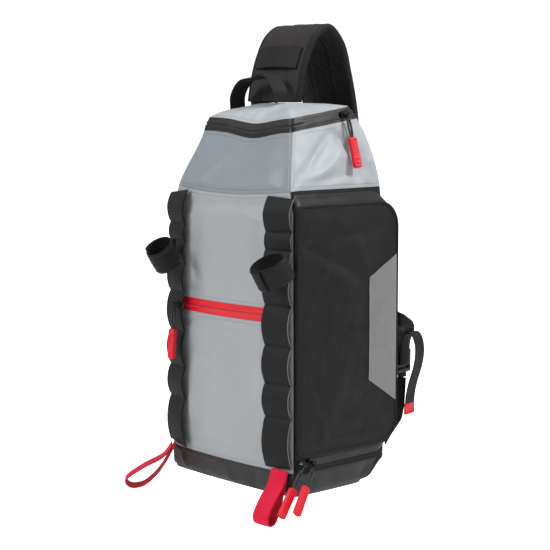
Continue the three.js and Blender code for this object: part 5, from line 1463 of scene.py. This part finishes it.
def make_grip(pull):
    """A moulded grip along its solid's own axes: eased corners, a raised rim round a sunken face,
    and two cross ribs near its foot."""
    middle, axes, half = own_axes(f"{pull}_grip")
    s = np.linspace(-1, 1, 70)
    taper = np.maximum((1 - np.abs(s) ** 26) ** 0.5, 0.55)
    waist = 1 - 0.05 * hump(s / 0.6)
    turn = np.linspace(0, 2 * math.pi, 48, endpoint=False)
    cx = np.sign(np.cos(turn)) * np.abs(np.cos(turn)) ** 0.3
    cy = np.sign(np.sin(turn)) * np.abs(np.sin(turn)) ** 0.3
    x = cx[None] * half[1] * (taper * waist)[:, None]
    face = smooth((0.72 - np.abs(cx)) / 0.1) * smooth((0.86 - np.abs(s[:, None])) / 0.06)
    s = s[:, None]
    ribs = face * np.maximum(0, np.sin((s - 0.3) * 22)) * (s > 0.3) * (s < 0.84)
    sunk = np.sign(cy)[None] * half[2] * (0.17 * face - 0.15 * ribs)
    y = cy[None] * half[2] * (taper**0.6)[:, None] - sunk
    local = np.stack([s * half[0] + 0 * x, x, y], -1)
    place = middle + local @ axes
    index = np.arange(place[..., 0].size).reshape(place.shape[:2])
    ahead = np.roll(index, -1, 1)
    faces = [np.stack([index[:-1], ahead[:-1], ahead[1:], index[1:]], -1).reshape(-1, 4)]
    verts = np.concatenate([place.reshape(-1, 3), place[0].mean(0)[None], place[-1].mean(0)[None]])
    tips = np.full(index.shape[1], index.size)
    faces.append(np.stack([tips, ahead[0], index[0]], -1))
    faces.append(np.stack([tips + 1, index[-1], ahead[-1]], -1))
    uv = np.concatenate([local[..., 1::-1].reshape(-1, 2) * 1000, [[0, 0], [0, 0]]])
    obj = mesh_object(f"{pull}_tab", verts, faces, uv, np.ones(len(verts)), place=False)
    finish_piece(obj, (f"{pull}_grip",), ("red_rubber",))


def make_cord(pull):
    """A loop of braided cord along its solid's own axes: two strands side by side that meet in a
    bend through the link."""
    middle, axes, half = own_axes(f"{pull}_cord")
    reach, aside = half[0], half[1] - CORD_RADIUS
    guides = [middle + axes[0] * reach * a + axes[1] * aside * b for a, b in CORD_SHAPE]
    path = smooth_path(np.array(guides) * 1000 + hang_point(), 70)
    tube(f"{pull}_strands", path, CORD_RADIUS * 1000, (f"{pull}_cord",), "black_cord", ("cord",))


def make_pulls():
    """Zip pulls, whose sliders and links keep their solids, and the adjuster."""
    for pull in PULLS:
        rounded((f"{pull}_slider",), "metal", 0.0004, 0)
        rounded((f"{pull}_link",), "metal", 0, 1)
        make_cord(pull)
        make_grip(pull)
    rounded(("ladder_lock",), "plastic", 0.0007, 0)


# Stage
CAMERA_PLACE = (1.34117, -1.2358, -0.0776)
CAMERA_AZIMUTH = 48.39
CAMERA_PITCH = 6.2875
CAMERA_LENS = 103.59
FLOOR_DROP, FLOOR_REACH = 0.12, 6.0
WORLD_LIGHT = 0.4
LIGHT_TARGET = (0.03, -0.08, -0.25)
LIGHTS = (
    ("key", (-0.6, -1.9, 1.1), 0.9, 31),
    ("side", (1.5, 0.75, 1.35), 0.6, 38),
    ("top", (0.1, 0.3, 1.9), 1.0, 12),
    ("low", (1.6, -1.0, -0.9), 1.2, 6),
)


def area_light(name, place, target, size, power):
    """A soft square light that looks at a target."""
    data = bpy.data.lights.new(name, "AREA")
    data.size = size
    data.energy = power
    obj = bpy.data.objects.new(name, data)
    obj.location = place
    ahead = unit(np.asarray(target, float) - np.asarray(place, float))
    obj.rotation_euler = (math.acos(-ahead[2]), 0, math.atan2(ahead[0], -ahead[1]) + math.pi)
    bpy.context.scene.collection.objects.link(obj)


def make_stage():
    """A pale floor below the hanging loops, soft lights and the photograph's camera."""
    scene = bpy.context.scene
    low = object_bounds()[0][2] - FLOOR_DROP
    size = FLOOR_REACH
    corners = [(-size, -size, low), (size, -size, low), (size, size, low), (-size, size, low)]
    mesh = bpy.data.meshes.new("floor")
    mesh.from_pydata(corners, [], [(0, 1, 2, 3)])
    floor = bpy.data.objects.new("floor", mesh)
    scene.collection.objects.link(floor)
    mesh.materials.append(MATERIALS["paper"])
    floor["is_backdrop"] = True
    for name, place, width, power in LIGHTS:
        area_light(name, place, LIGHT_TARGET, width, power)
    world = bpy.data.worlds.new("studio")
    scene.world = world
    scene.view_settings.view_transform = "Standard"
    world.use_nodes = True
    background = world.node_tree.nodes["Background"]
    background.inputs["Color"].default_value = (1, 1, 1, 1)
    path = world.node_tree.nodes.new("ShaderNodeLightPath")
    strength = world.node_tree.nodes.new("ShaderNodeMapRange")
    strength.inputs["To Min"].default_value = WORLD_LIGHT
    strength.inputs["To Max"].default_value = BACKDROP
    world.node_tree.links.new(path.outputs["Is Camera Ray"], strength.inputs["Value"])
    world.node_tree.links.new(strength.outputs["Result"], background.inputs["Strength"])
    data = bpy.data.cameras.new("camera")
    data.lens = CAMERA_LENS
    data.sensor_width = 36
    camera = bpy.data.objects.new("camera", data)
    camera.location = CAMERA_PLACE
    camera.rotation_euler = (math.radians(90 - CAMERA_PITCH), 0, math.radians(CAMERA_AZIMUTH))
    scene.collection.objects.link(camera)
    scene.camera = camera


# Add-on
class SLINGBAG_OT_materials(bpy.types.Operator):
    """Make the cloths, webbings and moulded finishes"""

    bl_idname = "slingbag.materials"
    bl_label = "Materials"
    bl_options = {"REGISTER", "UNDO"}

    def execute(self, context):
        make_materials()
        return {"FINISHED"}


class SLINGBAG_OT_base(bpy.types.Operator):
    """Make the coated base"""

    bl_idname = "slingbag.base"
    bl_label = "Base"
    bl_options = {"REGISTER", "UNDO"}

    def execute(self, context):
        make_base()
        return {"FINISHED"}


class SLINGBAG_OT_front(bpy.types.Operator):
    """Make the front panels and their zip"""

    bl_idname = "slingbag.front"
    bl_label = "Front"
    bl_options = {"REGISTER", "UNDO"}

    def execute(self, context):
        make_front()
        return {"FINISHED"}


class SLINGBAG_OT_sides(bpy.types.Operator):
    """Make the side walls and the padded back"""

    bl_idname = "slingbag.sides"
    bl_label = "Sides and back"
    bl_options = {"REGISTER", "UNDO"}

    def execute(self, context):
        make_sides()
        return {"FINISHED"}


class SLINGBAG_OT_hood(bpy.types.Operator):
    """Make the hood, its zip band and the lid"""

    bl_idname = "slingbag.hood"
    bl_label = "Hood"
    bl_options = {"REGISTER", "UNDO"}

    def execute(self, context):
        make_hood()
        return {"FINISHED"}


class SLINGBAG_OT_daisy(bpy.types.Operator):
    """Make the ladder webbing down the front"""

    bl_idname = "slingbag.daisy"
    bl_label = "Ladder webbing"
    bl_options = {"REGISTER", "UNDO"}

    def execute(self, context):
        make_daisy()
        return {"FINISHED"}


class SLINGBAG_OT_rings(bpy.types.Operator):
    """Make the two rod rings"""

    bl_idname = "slingbag.rings"
    bl_label = "Rod rings"
    bl_options = {"REGISTER", "UNDO"}

    def execute(self, context):
        make_rings()
        return {"FINISHED"}


class SLINGBAG_OT_loops(bpy.types.Operator):
    """Make the two red loops"""

    bl_idname = "slingbag.loops"
    bl_label = "Red loops"
    bl_options = {"REGISTER", "UNDO"}

    def execute(self, context):
        make_loops()
        return {"FINISHED"}


class SLINGBAG_OT_pocket(bpy.types.Operator):
    """Make the side pocket and its print"""

    bl_idname = "slingbag.pocket"
    bl_label = "Side pocket"
    bl_options = {"REGISTER", "UNDO"}

    def execute(self, context):
        make_pocket()
        return {"FINISHED"}


class SLINGBAG_OT_strap(bpy.types.Operator):
    """Make the padded strap, its keeper and the handle"""

    bl_idname = "slingbag.strap"
    bl_label = "Strap"
    bl_options = {"REGISTER", "UNDO"}

    def execute(self, context):
        make_strap()
        return {"FINISHED"}


class SLINGBAG_OT_wing(bpy.types.Operator):
    """Make the stabiliser wing"""

    bl_idname = "slingbag.wing"
    bl_label = "Wing"
    bl_options = {"REGISTER", "UNDO"}

    def execute(self, context):
        make_wing()
        return {"FINISHED"}


class SLINGBAG_OT_lower_strap(bpy.types.Operator):
    """Make the webbing at the adjuster"""

    bl_idname = "slingbag.lower_strap"
    bl_label = "Lower strap"
    bl_options = {"REGISTER", "UNDO"}

    def execute(self, context):
        make_lower_strap()
        return {"FINISHED"}


class SLINGBAG_OT_pulls(bpy.types.Operator):
    """Finish the zip pulls and the adjuster"""

    bl_idname = "slingbag.pulls"
    bl_label = "Zip pulls"
    bl_options = {"REGISTER", "UNDO"}

    def execute(self, context):
        make_pulls()
        return {"FINISHED"}


class SLINGBAG_OT_stage(bpy.types.Operator):
    """Make the floor, the lights and the camera"""

    bl_idname = "slingbag.stage"
    bl_label = "Stage"
    bl_options = {"REGISTER", "UNDO"}

    def execute(self, context):
        make_stage()
        return {"FINISHED"}


OPERATORS = (
    SLINGBAG_OT_materials,
    SLINGBAG_OT_base,
    SLINGBAG_OT_front,
    SLINGBAG_OT_sides,
    SLINGBAG_OT_hood,
    SLINGBAG_OT_daisy,
    SLINGBAG_OT_rings,
    SLINGBAG_OT_loops,
    SLINGBAG_OT_pocket,
    SLINGBAG_OT_strap,
    SLINGBAG_OT_wing,
    SLINGBAG_OT_lower_strap,
    SLINGBAG_OT_pulls,
    SLINGBAG_OT_stage,
)


class SLINGBAG_PT_panel(bpy.types.Panel):
    """The sizes and the buttons that make each group of pieces."""

    bl_idname = "SLINGBAG_PT_panel"
    bl_label = "Sling bag"
    bl_space_type = "VIEW_3D"
    bl_region_type = "UI"
    bl_category = "Sling bag"

    def draw(self, context):
        """Lists the sizes, then a button for each group."""
        scene = context.scene
        for settings in (scene.sling_bag, scene.sling_trim, scene.sling_colors):
            box = self.layout.box()
            for name in settings.__annotations__:
                box.prop(settings, name)
        for step in OPERATORS:
            self.layout.operator(step.bl_idname)


CLASSES = (BagSizes, TrimSizes, BagColors, *OPERATORS, SLINGBAG_PT_panel)


def register():
    """Registers the classes and adds the sizes and colours to the scene."""
    for cls in CLASSES:
        bpy.utils.register_class(cls)
    bpy.types.Scene.sling_bag = bpy.props.PointerProperty(type=BagSizes)
    bpy.types.Scene.sling_trim = bpy.props.PointerProperty(type=TrimSizes)
    bpy.types.Scene.sling_colors = bpy.props.PointerProperty(type=BagColors)


def unregister():
    """Takes the sizes and the classes away."""
    del bpy.types.Scene.sling_colors
    del bpy.types.Scene.sling_trim
    del bpy.types.Scene.sling_bag
    for cls in reversed(CLASSES):
        bpy.utils.unregister_class(cls)


def corners(bounds):
    """Two corners as plain lists."""
    return [[float(value) for value in corner] for corner in bounds]


def main():
    """Makes every group."""
    register()
    bpy.ops.slingbag.materials()
    bpy.ops.slingbag.base()
    bpy.ops.slingbag.front()
    bpy.ops.slingbag.sides()
    bpy.ops.slingbag.hood()
    bpy.ops.slingbag.daisy()
    bpy.ops.slingbag.rings()
    bpy.ops.slingbag.loops()
    bpy.ops.slingbag.pocket()
    bpy.ops.slingbag.strap()
    bpy.ops.slingbag.wing()
    bpy.ops.slingbag.lower_strap()
    bpy.ops.slingbag.pulls()
    bpy.ops.slingbag.stage()


if __name__ == "__main__":
    main()
